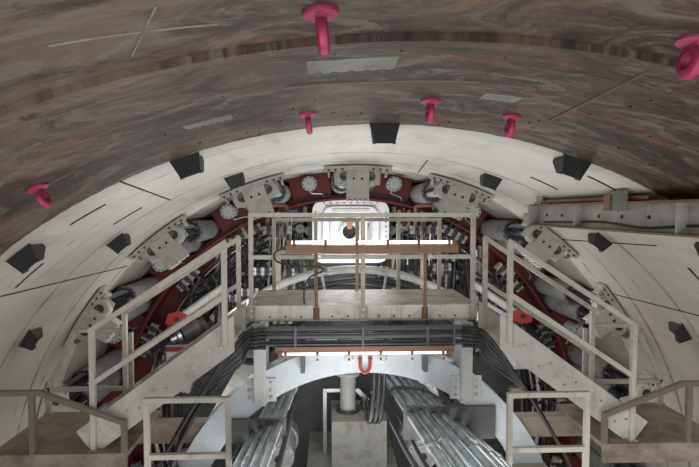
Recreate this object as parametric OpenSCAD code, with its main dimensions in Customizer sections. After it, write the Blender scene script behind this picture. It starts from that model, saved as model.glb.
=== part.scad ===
// Shield of a tunnel boring machine, seen from its open tail.
// Y runs forward from the tail to the cutting head, X to the right, Z up from the floor.

/* [Shield] */
// Inner radius of the tail skin
tail_inner_r = 3600; // [3500:10:3700]
// Thickness of the tail skin
tail_wall = 90; // [60:5:110]
// Outer radius of the middle and front shield
shield_r = 3700; // [3695:5:3850]
// Thickness of the middle skin
mid_wall = 50; // [40:5:60]
// Thickness of the front skin
front_wall = 80; // [60:5:90]
// Length of the tail skin
tail_l = 5424; // [5400:10:5500]
// Length of the middle skin
mid_l = 2576; // [2560:10:2700]
// Length of the front skin
front_l = 1250; // [1200:10:1500]
// Distance from the tail's end to the raised lip
lip_t = 716; // [600:10:900]
// Distance from the tail's end to the welded seam
seam_t = 3794; // [3600:10:3900]

/* [Bulkhead and drive] */
// Distance from the front of the middle skin to the bulkhead
bulkhead_gap = 300; // [250:10:400]
// Thickness of the pressure bulkhead
bulkhead_wall = 80; // [60:5:100]
// Radius of the drive housing
drive_r = 1500; // [1400:10:1520]
// Length of the drive housing
drive_l = 900; // [700:10:950]
// Radius of the drive's rotor tube
rotor_r = 1050; // [900:10:1150]
// Number of drive motors
motor_count = 8; // [6:1:8]
// Radius of one drive motor
motor_r = 220; // [180:5:230]
// Length of one drive motor
motor_l = 820; // [600:10:900]

/* [Cutting head] */
// Radius of the cutting head
head_r = 3690; // [3600:5:3690]
// Gap between the front skin and the head
head_gap = 60; // [30:5:80]
// Thickness of the head's plates
head_l = 480; // [400:10:600]
// How far the cutting tools stand out of the head
tool_h = 160; // [100:5:180]
// Number of spokes
spoke_count = 6; // [4:1:8]
// Width of one spoke
spoke_w = 640; // [500:10:700]

/* [Thrust rams] */
// Number of ram pairs
ram_groups = 19; // [19:1:19]
// Radius of the circle that the rams stand on
ram_pitch_r = 3470; // [3465:1:3475]
// Half angle between the two rams of a pair
ram_half_angle = 2.42; // [2.4:0.01:2.5]
// Radius of a ram's barrel
barrel_r = 138; // [130:1:140]
// Radius of a ram's rod
rod_r = 105; // [90:1:108]
// Distance from the tail's end to the barrels' rear end
barrel_t = 5750; // [5700:10:5800]
// Distance from the tail's end to the shoes' rear face
shoe_t = 4950; // [4900:10:4980]
// Thickness of a shoe along the shield
shoe_l = 150; // [120:5:160]
// Half angle that a shoe covers
shoe_half_angle = 6; // [5:0.1:6.5]

/* [Platform] */
// Height of the upper deck above the axis
deck_z = 2200; // [2150:10:2250]
// Half width of the upper deck
deck_hw = 1090; // [1000:10:1120]
// Distance from the tail's end to the upper deck's rear edge
deck_t = 4110; // [4050:10:4200]
// Depth of the upper deck
deck_l = 980; // [800:10:1000]
// Height of a guard rail
rail_h = 870; // [800:10:1000]
// Side of a guard rail's square tube
rail_tube = 40; // [30:1:50]
// Height of the side landings above the axis
landing_z = 1170; // [1100:10:1200]
// Inner radius of the ring beam
ring_in_r = 1590; // [1550:10:1600]
// Outer radius of the ring beam
ring_out_r = 1850; // [1830:10:1900]

/* [Hidden] */

// Clearance between pieces that only touch
seat = 0.3;
mid_t = tail_l;
front_t = mid_t + mid_l;
bulkhead_t = front_t + bulkhead_gap;
head_t = front_t + front_l + head_gap;
total_l = head_t + head_l + tool_h;
tail_r = tail_inner_r + tail_wall;
mid_inner_r = shield_r - mid_wall;
front_inner_r = shield_r - front_wall;
ram_step = 360 / ram_groups;
// Ring of the red stiffener that the barrels pass through
stiff_t = 7080;
stiff_wall = 120;
stiff_in_r = 3080;
barrel_end_t = front_t - 60;
gland_l = 80;
barrel_bore_r = 120;
// The white bolted flange ring at the front of the middle skin
flange_in_r = 3300;
ring_t = 4000;
ring_l = 240;
plate = 20;
girder_w = 220;
deck_fascia = 140;
girder_angles = [62, 118, 242, 298];
cream = [0.86, 0.84, 0.78];
steel_rust = [0.35, 0.27, 0.22];
dark_red = [0.42, 0.08, 0.08];
black_steel = [0.09, 0.09, 0.1];

// Shared helpers

// Places children in the shield's own space: X right, t forward from the tail's end, Z above the axis
module in_shield() {
    translate([0, -total_l / 2, shield_r]) children();
}

// Turns children about the shield's axis by an angle from the top, to the right
module around(angle) {
    rotate([0, angle, 0]) children();
}

// Revolves a profile of radius and t about the shield's axis
module revolve(fn = 180) {
    rotate([-90, 0, 0]) rotate_extrude($fn = fn) children();
}

// A rod or disc along the shield's axis
module along(r, l, fn = 48) {
    rotate([-90, 0, 0]) cylinder(r = r, h = l, $fn = fn);
}

// A sector of a ring between two radii, l long, half_angle to each side of the top
module sector(r_in, r_out, l, half_angle) {
    rotate([0, -half_angle, 0])
        rotate([-90, 0, 0])
            rotate([0, 0, -90])
                rotate_extrude(angle = 2 * half_angle, $fn = 180)
                    translate([r_in, 0])
                        square([r_out - r_in, l]);
}

// A box given by its low corner and size
module block(low, size) {
    translate(low) cube(size);
}

// Skins

module tail_skin() {
    lip_w = 60;
    lip_h = 22;
    groove_w = 24;
    groove_h = 8;
    color(steel_rust) in_shield() revolve()
        polygon([
            [tail_inner_r, 0],
            [tail_r, 0],
            [tail_r, tail_l],
            [tail_inner_r, tail_l],
            [tail_inner_r, seam_t + groove_w],
            [tail_inner_r + groove_h, seam_t + groove_w],
            [tail_inner_r + groove_h, seam_t],
            [tail_inner_r, seam_t],
            [tail_inner_r, lip_t + lip_w],
            [tail_inner_r - lip_h, lip_t + lip_w],
            [tail_inner_r - lip_h, lip_t],
            [tail_inner_r, lip_t],
        ]);
}

module mid_skin() {
    collar = 60;
    color(cream) in_shield() revolve()
        polygon([
            [tail_inner_r, mid_t],
            [shield_r, mid_t],
            [shield_r, front_t],
            [flange_in_r, front_t],
            [flange_in_r, barrel_end_t],
            [mid_inner_r, barrel_end_t],
            [mid_inner_r, mid_t + collar],
            [tail_inner_r, mid_t + collar],
        ]);
}

module front_skin() {
    color(steel_rust) in_shield() revolve()
        polygon([
            [flange_in_r, front_t],
            [shield_r, front_t],
            [shield_r, front_t + front_l],
            [front_inner_r, front_t + front_l],
            [front_inner_r, front_t + 60],
            [flange_in_r, front_t + 60],
        ]);
}

module bulkhead() {
    rib_w = 40;
    color(cream) in_shield() {
        difference() {
            union() {
                translate([0, bulkhead_t, 0]) along(front_inner_r, bulkhead_wall, 180);
                for (i = [0 : 11]) around(15 + i * 30)
                    block([-rib_w / 2, front_t + 60, drive_r + 400], [rib_w, bulkhead_gap - 60, 1300]);
            }
            translate([0, bulkhead_t - 1, 0]) along(rotor_r + 90, bulkhead_wall + 2, 96);
        }
    }
}

// Thrust rams

module thrust_ring() {
    lip = 30;
    color(dark_red) in_shield() difference() {
        union() {
            revolve() translate([stiff_in_r, stiff_t]) square([mid_inner_r - stiff_in_r, stiff_wall]);
            revolve() translate([stiff_in_r - lip, stiff_t - 120]) square([lip, stiff_wall + 240]);
        }
        for (i = [0 : ram_groups - 1], s = [-1, 1]) around(i * ram_step + s * ram_half_angle)
            translate([0, stiff_t - 1, ram_pitch_r]) along(barrel_r + seat, stiff_wall + 2);
        translate([0, lock_t, lock_z])
            lock_shape(lock_w + 2 * seat, lock_h + 2 * seat, lock_r + seat, bulkhead_t - lock_t);
    }
}

module ram_barrels() {
    rim_r = 143;
    rim_l = 50;
    base_l = 90;
    color([0.25, 0.26, 0.28]) in_shield()
        for (i = [0 : ram_groups - 1], s = [-1, 1]) around(i * ram_step + s * ram_half_angle)
            translate([0, barrel_t, ram_pitch_r]) difference() {
                union() {
                    along(barrel_r, barrel_end_t - seat - barrel_t);
                    along(rim_r, rim_l);
                }
                translate([0, -1, 0]) along(rod_r + seat, gland_l + 2);
                translate([0, gland_l, 0]) along(barrel_bore_r, barrel_end_t - barrel_t - gland_l - base_l);
            }
}

module port_covers() {
    port_r = 75;
    disc_r = 100;
    disc_l = 30;
    port_pitch_r = 3500;
    port_t = 6300;
    color([0.8, 0.8, 0.76]) in_shield()
        for (i = [0 : ram_groups - 1]) around((i + 0.5) * ram_step)
            translate([0, port_t, port_pitch_r]) {
                along(disc_r, 2 * disc_l);
                along(port_r, stiff_t - seat - port_t);
            }
}

// One shoe with its two rods, i from 1 at the top, to the right
module thrust_shoe(i) {
    shoe_out_r = 3585;
    shoe_in_r = 3360;
    block_w = 260;
    block_h = 165;
    rod_end_t = 7280;
    color([0.88, 0.88, 0.86]) in_shield() around((i - 1) * ram_step) {
        difference() {
            union() {
                translate([0, shoe_t, 0]) sector(shoe_in_r, shoe_out_r, shoe_l, shoe_half_angle);
                block([-block_w / 2, shoe_t + 10, shoe_in_r - block_h], [block_w, shoe_l - 20, block_h + 20]);
            }
            for (x = [-80, 0, 80])
                translate([x, shoe_t, shoe_in_r - block_h]) along(24, shoe_l, 6);
        }
        for (s = [-1, 1]) around(s * ram_half_angle)
            translate([0, shoe_t + shoe_l - 5, ram_pitch_r]) along(rod_r, rod_end_t - shoe_t - shoe_l + 5);
    }
}

// Drive and lock

module drive_housing() {
    flange = 90;
    // Length of the bearing seat that carries the rotor tube
    land_l = 200;
    color(cream) in_shield() {
        difference() {
            union() {
                translate([0, bulkhead_t - drive_l, 0]) along(drive_r - flange, drive_l, 96);
                translate([0, bulkhead_t - drive_l, 0]) along(drive_r, 70, 96);
                translate([0, bulkhead_t - 80, 0]) along(drive_r, 80, 96);
            }
            translate([0, bulkhead_t - drive_l + 120, 0]) along(rotor_r + 60, drive_l - 120 - land_l, 96);
            translate([0, bulkhead_t - land_l - 1, 0]) along(rotor_r + seat, land_l + 2, 96);
        }
    }
}

module drive_motors() {
    motor_pitch_r = 1120;
    box_l = 260;
    color([0.85, 0.86, 0.86]) in_shield()
        for (i = [0 : motor_count - 1]) around((i + 0.5) * 360 / motor_count)
            translate([0, bulkhead_t - drive_l - seat, motor_pitch_r]) {
                translate([0, -box_l, 0]) along(motor_r + 30, box_l);
                translate([0, -motor_l, 0]) along(motor_r, motor_l);
            }
}

// A chamber with a hatch, over the drive
lock_z = 2790;
lock_w = 1100;
lock_h = 900;
lock_wall = 40;
lock_r = 160;
lock_t = 6700;
hatch_w = 720;
hatch_h = 640;

module lock_shape(w, h, r, l) {
    rotate([90, 0, 0]) mirror([0, 0, 1]) linear_extrude(height = l) {
        square([w - 2 * r, h], center = true);
        square([w, h - 2 * r], center = true);
        for (sx = [-1, 1], sz = [-1, 1])
            translate([sx * (w / 2 - r), sz * (h / 2 - r)]) circle(r = r, $fn = 48);
    }
}

module man_lock() {
    color(cream) in_shield() translate([0, lock_t, lock_z]) difference() {
        lock_shape(lock_w, lock_h, lock_r, bulkhead_t - lock_t);
        translate([0, lock_wall, 0])
            lock_shape(lock_w - 2 * lock_wall, lock_h - 2 * lock_wall, lock_r - lock_wall,
                bulkhead_t - lock_t - 2 * lock_wall);
        translate([0, -1, 0]) lock_shape(hatch_w, hatch_h, 120, lock_wall + 2);
    }
}

module lock_door() {
    door_w = hatch_w + 80;
    door_h = hatch_h + 80;
    door_wall = 36;
    hinge_r = 16;
    color(cream) in_shield() translate([0, lock_t - door_wall - seat, lock_z]) {
        lock_shape(door_w, door_h, 150, door_wall);
        for (z = [-200, 200]) translate([-door_w / 2 - 30, door_wall / 2, z - 50]) {
            cylinder(r = hinge_r, h = 100, $fn = 32);
            translate([0, -12, 20]) cube([120, 24, 60]);
        }
    }
}

// Inner structure

module ring_beam() {
    joint_x = 930;
    color(cream) in_shield() {
        revolve() translate([ring_in_r, ring_t]) square([ring_out_r - ring_in_r, plate]);
        revolve() translate([ring_in_r, ring_t]) square([plate, ring_l]);
        revolve() translate([ring_out_r - plate, ring_t]) square([plate, ring_l]);
        for (s = [-1, 1]) {
            block([s * joint_x - 30, ring_t - 40, 1300], [60, ring_l + 40, deck_z - deck_fascia - 1300]);
            block([s * joint_x - 30, ring_t - 40, -1840], [60, ring_l + 40, 540]);
        }
    }
}

module girders() {
    girder_r = (ring_in_r + ring_out_r) / 2;
    color(cream) in_shield() for (a = girder_angles) around(a) difference() {
        block([-girder_w / 2, ring_t + ring_l, girder_r - girder_w / 2],
            [girder_w, bulkhead_t - seat - ring_t - ring_l, girder_w]);
        block([-girder_w / 2 + plate, ring_t + ring_l - 1, girder_r - girder_w / 2 + plate],
            [girder_w - 2 * plate, bulkhead_t - ring_t - ring_l + 2, girder_w - 2 * plate]);
    }
}

module upper_deck() {
    color(cream) in_shield() {
        block([-deck_hw, deck_t, deck_z - 30], [2 * deck_hw, deck_l, 30]);
        for (t = [deck_t, deck_t + deck_l - 60])
            block([-deck_hw, t, deck_z - deck_fascia], [2 * deck_hw, 60, deck_fascia - 29]);
        for (s = [-1, 1])
            block([s * (deck_hw - 30) - 30, deck_t, deck_z - deck_fascia], [60, deck_l, deck_fascia - 29]);
    }
}

// A flat guard frame in the XZ plane, from x0 to x1 at t, with posts and two rails
module guard_frame(x0, x1, t, z, h, posts) {
    for (x = posts) block([x - rail_tube / 2, t, z], [rail_tube, rail_tube, h]);
    block([x0 - rail_tube / 2, t, z + h - rail_tube], [x1 - x0 + rail_tube, rail_tube, rail_tube]);
    block([x0 - rail_tube / 2, t, z + h * 0.5], [x1 - x0 + rail_tube, rail_tube, rail_tube]);
}

// A flat guard frame in the YZ plane
module side_frame(x, t0, t1, z, h) {
    for (t = [t0, t1 - rail_tube]) block([x - rail_tube / 2, t, z], [rail_tube, rail_tube, h]);
    block([x - rail_tube / 2, t0, z + h - rail_tube], [rail_tube, t1 - t0, rail_tube]);
    block([x - rail_tube / 2, t0, z + h * 0.5], [rail_tube, t1 - t0, rail_tube]);
}

// A bar between two points of the XZ plane at t
module slope_bar(x0, z0, x1, z1, t, w, d) {
    len = norm([x1 - x0, z1 - z0]);
    translate([x0, t + 1, z0]) rotate([0, -atan2(z1 - z0, x1 - x0), 0])
        translate([0, 0, -w / 2]) cube([len, d - 2, w]);
}

stair_top = [1140, 2060];
stair_low = [2230, 1260];
stair_t = 3440;
stair_w = 640;
landing_in = 1930;
landing_out = 3000;
landing_l = 900;
landing_t = 3350;

module guard_rails() {
    // Half width of the far frame, which stays clear of the shoes
    far_hw = 930;
    color(cream) in_shield() {
        guard_frame(-deck_hw + 40, deck_hw - 40, deck_t, deck_z, rail_h, [-deck_hw + 40, 0, deck_hw - 40]);
        guard_frame(-far_hw, far_hw, deck_t + deck_l - rail_tube, deck_z, rail_h - 60,
            [-far_hw, -far_hw / 2, 0, far_hw / 2, far_hw]);
        for (s = [-1, 1]) for (t = [stair_t - rail_tube, stair_t + stair_w])
            mirror([s < 0 ? 0 : 1, 0, 0]) {
                slope_bar(-stair_low[0], 2130, -stair_top[0], 2845, t, rail_tube, rail_tube);
                slope_bar(-stair_low[0], 1700, -stair_top[0], 2420, t, rail_tube, rail_tube);
                block([-stair_top[0] - rail_tube, t, stair_top[1] - 60], [rail_tube, rail_tube, 840]);
                block([-stair_low[0], t, landing_z], [rail_tube, rail_tube, 990]);
            }
    }
}

module dark_rails() {
    color([0.3, 0.25, 0.22]) in_shield() for (s = [-1, 1]) mirror([s < 0 ? 0 : 1, 0, 0]) {
        block([-2980, landing_t, landing_z + 470], [400, rail_tube, rail_tube]);
        slope_bar(-2600, landing_z + 490, -1950, landing_z + 240, landing_t, rail_tube, rail_tube);
        block([-1970, landing_t, landing_z], [rail_tube, rail_tube, 260]);
        block([-2680, landing_t, landing_z], [rail_tube, rail_tube, 490]);
    }
}

module stairs() {
    steps = 5;
    color(cream) in_shield() for (s = [-1, 1]) mirror([s < 0 ? 0 : 1, 0, 0]) {
        for (t = [stair_t, stair_t + stair_w - plate]) difference() {
            slope_bar(-stair_low[0] - 60, stair_low[1] - 44, -stair_top[0] + 120, stair_top[1] + 88, t, 240, plate);
            block([-3000, t - 1, 900], [2000, plate + 2, landing_z + seat - 900]);
            block([-deck_hw - seat, t - 1, 1000], [500, plate + 2, 1600]);
        }
        for (i = [0 : steps - 1]) {
            f = (i + 0.5) / steps;
            x = -stair_low[0] + f * (stair_low[0] - stair_top[0]);
            z = stair_low[1] + f * (stair_top[1] - stair_low[1]);
            block([x - 120, stair_t + plate - 1, z - 20], [240, stair_w - 2 * plate + 2, 40]);
        }
    }
}

module landings() {
    color([0.45, 0.36, 0.28]) in_shield() for (s = [-1, 1]) mirror([s < 0 ? 0 : 1, 0, 0]) {
        block([-landing_out, landing_t, landing_z - 40], [landing_out - landing_in, landing_l, 40]);
        block([-landing_out, landing_t, landing_z - 160], [landing_out - landing_in, 30, 125]);
        block([-landing_out, landing_t + landing_l - 30, landing_z - 160], [landing_out - landing_in, 30, 125]);
        difference() {
            block([-landing_out + 100, ring_t + 30, landing_z - 230], [1600, 130, 191]);
            along(ring_out_r + seat, 6000, 180);
        }
    }
}

module lower_steps() {
    step_in = 1100;
    step_out = 1720;
    step_z = 700;
    step_t = 3200;
    color(cream) in_shield() for (s = [-1, 1]) mirror([s < 0 ? 0 : 1, 0, 0]) {
        block([-step_out, step_t, step_z - 40], [step_out - step_in, ring_t - seat - step_t, 40]);
        guard_frame(-step_out, -step_in, step_t, step_z, 960, [-step_out, -step_in]);
    }
}

// Pieces on the skin

bracket_rows = [
    // angle, t of the bracket's plate
    [0, 2260], [-18.9, 2300], [18.9, 2300], [-37.9, 2450], [37.9, 2450],
    [-18.9, 3900], [18.9, 3900], [-37.9, 3900], [37.9, 3900], [-56.8, 3900], [56.8, 3900],
];

module skin_brackets() {
    bw = 230;
    bh = 130;
    color(black_steel) in_shield() for (b = bracket_rows) around(b[0]) intersection() {
        union() {
            block([-bw / 2, b[1], tail_inner_r - bh], [bw, 20, bh + 10]);
            for (s = [-1, 1]) translate([s * (bw / 2 - 30), b[1] + 10, tail_inner_r])
                rotate([90, 0, 90]) linear_extrude(height = 16, center = true)
                    polygon([[0, 10], [0, -bh + 10], [190, -10], [190, 10]]);
        }
        along(tail_inner_r - seat, tail_l, 180);
    }
}

lug_rows = [
    // angle, t of the lug
    [-5.6, 520], [-27.3, 1650], [-6.9, 1830], [2.2, 1610], [9.1, 1760], [10.2, 570],
];

module lifting_lugs() {
    color([0.75, 0.1, 0.35]) in_shield() for (b = lug_rows) around(b[0]) {
        translate([0, b[1], tail_inner_r - 60]) rotate([0, 90, 0]) difference() {
            union() {
                cylinder(r = 45, h = 30, center = true, $fn = 32);
                translate([-60 + seat, -45, -15]) cube([60 - seat, 90, 30]);
            }
            cylinder(r = 20, h = 40, center = true, $fn = 32);
        }
    }
}

module hoist_beam() {
    beam_x = 1650;
    beam_z = 3050;
    beam_w = 160;
    beam_h = 200;
    beam_t = 1300;
    beam_l = 2800;
    color(cream) in_shield() {
        difference() {
            block([beam_x - beam_w / 2, beam_t, beam_z - beam_h / 2], [beam_w, beam_l, beam_h]);
            block([beam_x - beam_w / 2 + 12, beam_t - 1, beam_z - beam_h / 2 + 12],
                [beam_w - 24, beam_l + 2, beam_h - 24]);
        }
        for (t = [beam_t + 200, beam_t + 1300, beam_t + beam_l - 240]) intersection() {
            block([beam_x - 60, t, beam_z + beam_h / 2 - 1], [40, 160, 100]);
            along(tail_inner_r - seat, tail_l, 180);
        }
    }
}

// Services

tray_z = 1900;
tray_out = 120;
tray_pipe_r = 26;

module cable_tray() {
    color([0.4, 0.4, 0.42]) in_shield() {
        for (z = [tray_z, tray_z + 65, tray_z + 130])
            translate([-960, ring_t - tray_out, z]) rotate([0, 90, 0]) cylinder(r = tray_pipe_r, h = 1920, $fn = 24);
        for (x = [-560, 560])
            block([x - 20, ring_t - tray_out + 20 + seat, 1620], [40, tray_out - 20 - 2 * seat, tray_z + 136 - 1620]);
    }
}

module lamps() {
    lamp_l = 1600;
    stand_r = 15;
    color([0.55, 0.33, 0.22]) in_shield() {
        block([-717, deck_t - 90, deck_z + 500], [lamp_l, 70, 70]);
        for (x = [-440, 586]) translate([x, deck_t - stand_r - seat, deck_z - 130])
            cylinder(r = stand_r, h = 640, $fn = 24);
        block([-800, ring_t - 148, tray_z - tray_pipe_r - seat - 50], [lamp_l, 48, 50]);
    }
}

pipe_slope = 9.1;
pipe_t = 1600;
pipe_l = 4700;
pipe_rows = [
    // x and z where the pipe passes the ring beam, radius
    [430, 1190, 38], [530, 1200, 42], [640, 1180, 38], [740, 1160, 50], [860, 1100, 42], [960, 1040, 38],
    [-1020, 1030, 32], [-940, 1070, 32], [-860, 1100, 32], [-780, 1120, 32],
];

// One pipe of the table, grown by a clearance
module pipe_run(p, grow) {
    translate([p[0], ring_t, p[1]]) rotate([-pipe_slope, 0, 0])
        translate([0, pipe_t - ring_t, 0]) along(p[2] + grow, pipe_l, 32);
}

module pipework() {
    color([0.62, 0.62, 0.62]) in_shield() for (p = pipe_rows) pipe_run(p, 0);
}

module pipe_clamps() {
    clamp_l = 40;
    color(cream) in_shield() difference() {
        union() {
            block([370, ring_t - clamp_l - seat, 960], [860, clamp_l, 310]);
            block([-1230, ring_t - clamp_l - seat, 960], [510, clamp_l, 220]);
        }
        for (p = pipe_rows) pipe_run(p, seat);
    }
}

module riser_pipe() {
    color([0.8, 0.8, 0.76]) in_shield() translate([-45, 6600, 230]) {
        cylinder(r = 110, h = 560, $fn = 48);
        cylinder(r = 165, h = 40, $fn = 48);
        translate([0, 0, 520]) cylinder(r = 165, h = 40, $fn = 48);
    }
}

module centre_floor() {
    color(cream) in_shield() {
        block([-620, 4300, -450], [1240, bulkhead_t - drive_l - seat - 4300, 40]);
        block([-280, 6200, -410], [750, 800, 640]);
    }
}

// Cutting head

module cutting_head() {
    rim_w = 330;
    hub_r = 800;
    color([0.3, 0.3, 0.32]) in_shield() {
        translate([0, head_t, 0]) {
            revolve() translate([head_r - rim_w, 0]) square([rim_w, head_l]);
            along(hub_r, head_l, 96);
            for (i = [0 : spoke_count - 1]) around(i * 360 / spoke_count)
                block([-spoke_w / 2, 0, hub_r - 200], [spoke_w, head_l, head_r - rim_w - hub_r + 230]);
        }
        translate([0, bulkhead_t - drive_l + 200, 0]) difference() {
            along(rotor_r, head_t - bulkhead_t + drive_l - 200 + 1, 96);
            translate([0, -1, 0]) along(rotor_r - 150, head_t - bulkhead_t + drive_l - 200, 96);
        }
    }
}

module head_tools() {
    rows = 9;
    tool_step = 300;
    color([0.5, 0.5, 0.52]) in_shield() for (i = [0 : spoke_count - 1], k = [0 : rows - 1])
        around(i * 360 / spoke_count) translate([0, head_t + head_l + seat, 750 + k * tool_step])
            rotate([0, -90, 0]) linear_extrude(height = 180, center = true)
                polygon([[-60, 0], [60, 0], [40, tool_h - seat], [-10, tool_h - seat]]);
}

tail_skin();
mid_skin();
front_skin();
bulkhead();
thrust_ring();
ram_barrels();
port_covers();
drive_housing();
drive_motors();
man_lock();
lock_door();
ring_beam();
girders();
upper_deck();
guard_rails();
dark_rails();
stairs();
landings();
lower_steps();
skin_brackets();
lifting_lugs();
hoist_beam();
cable_tray();
lamps();
pipework();
pipe_clamps();
riser_pipe();
centre_floor();
cutting_head();
head_tools();
for (i = [1 : ram_groups])
    thrust_shoe(i);
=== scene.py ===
"""Dresses the shield of a tunnel boring machine: rusted tail, cream paint, rams, platform and pipes."""

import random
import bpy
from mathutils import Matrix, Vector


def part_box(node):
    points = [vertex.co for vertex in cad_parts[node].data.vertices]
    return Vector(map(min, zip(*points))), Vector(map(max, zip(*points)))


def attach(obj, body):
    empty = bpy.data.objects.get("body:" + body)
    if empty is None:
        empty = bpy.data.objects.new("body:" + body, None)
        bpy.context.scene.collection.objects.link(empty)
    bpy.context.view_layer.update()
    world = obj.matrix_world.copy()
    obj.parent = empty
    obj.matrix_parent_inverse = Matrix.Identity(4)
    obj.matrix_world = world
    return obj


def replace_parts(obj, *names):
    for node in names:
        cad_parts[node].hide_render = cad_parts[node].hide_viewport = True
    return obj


bl_info = {
    "name": "Tunnel shield",
    "version": (1, 0, 0),
    "blender": (4, 5, 0),
    "location": "View3D > Sidebar > Tunnel shield",
    "description": "Finishes and small pieces of a tunnel boring machine's shield",
    "category": "Object",
}

from math import asin, cos, pi, radians, sin, sqrt, tan

import bmesh
import bpy
from bpy.props import FloatProperty, FloatVectorProperty, IntProperty, PointerProperty
from mathutils import Vector

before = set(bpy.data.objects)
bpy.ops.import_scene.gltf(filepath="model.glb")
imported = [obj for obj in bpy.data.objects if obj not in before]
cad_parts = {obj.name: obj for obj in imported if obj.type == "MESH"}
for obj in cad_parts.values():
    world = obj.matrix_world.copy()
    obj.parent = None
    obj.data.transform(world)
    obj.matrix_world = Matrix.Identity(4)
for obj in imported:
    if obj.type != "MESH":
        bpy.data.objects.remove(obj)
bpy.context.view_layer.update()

# The CAD's own sizes, in metres. Names in _R are radii or distances from the axis, names in _T are
# distances from the tail's end, and names in _L are lengths.
TAIL_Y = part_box("tail_skin")[0].y
SHIELD_R = (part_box("mid_skin")[1].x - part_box("mid_skin")[0].x) / 2
AXIS_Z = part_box("mid_skin")[1].z - SHIELD_R
TAIL_R = 3.6
RING_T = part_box("ring_beam")[0].y + 0.04 - TAIL_Y
DECK_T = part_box("upper_deck")[0].y - TAIL_Y
BARREL_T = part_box("ram_barrels")[0].y - TAIL_Y
SHOE_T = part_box("shoe_1")[0].y - TAIL_Y
SHOE_L = 0.15
RAM_GROUPS = 19
RAM_STEP = 2 * pi / RAM_GROUPS
RAM_PITCH_R = 3.47
RAM_HALF = radians(2.42)
ROD_R = 0.105
HOSE_R = 0.022
COVER_R = 3.5
COVER_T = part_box("port_covers")[0].y - TAIL_Y
LOCK_LOW, LOCK_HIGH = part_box("man_lock")
DOOR_LOW, DOOR_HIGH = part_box("lock_door")
LANDING_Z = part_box("landings")[1].z
MOTOR_PITCH_R = 1.12
RISER_X = -0.045
RISER_T = 6.6
# The pipes fall toward the head, and their places are given where they pass the ring beam
PIPE_FALL = tan(radians(9.1))
PIPE_PLACE_T = 4.0

# Sizes of what only this script makes
SHOE_BOSS_L = 0.105
GUARD_T = 4.215
BLOCK_R = 3.13
BLOCK_T = 6.72
ARCH_PIPE_R = 2.35
ARCH_PIPE_T = 5.8
SKIN_WELDS_T = (3.794, 4.62, 5.424)
LOZENGES_PER_M = 26.0

# The photograph's camera: its place from the tail's end and the axis in metres, its turn and its lens
CAMERA_BACK = 0.8
CAMERA_X = -0.335
CAMERA_UP = 3.092
CAMERA_DOWN_DEG = 2.51
CAMERA_RIGHT_DEG = 2.42
CAMERA_LENS = 27.04
CAMERA_SENSOR = 36.0
CAMERA_CLIP = (0.05, 200.0)

FLOOR_SIZE = 240
SKY_STRENGTH = 0.45

ACROSS, AHEAD, UP = Vector((1, 0, 0)), Vector((0, 1, 0)), Vector((0, 0, 1))
TOWARD_TAIL = -AHEAD

CREAM = (0.76, 0.75, 0.70)
WHITE = (0.72, 0.74, 0.75)


def at(x, t, z):
    """A point from metres to the right, metres from the tail's end and metres above the axis."""
    return Vector((x, TAIL_Y + t, AXIS_Z + z))


def polar(angle, radius, t):
    """A point from an angle right of the top, a radius from the axis and metres from the tail's end."""
    return at(radius * sin(angle), t, radius * cos(angle))


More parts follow.
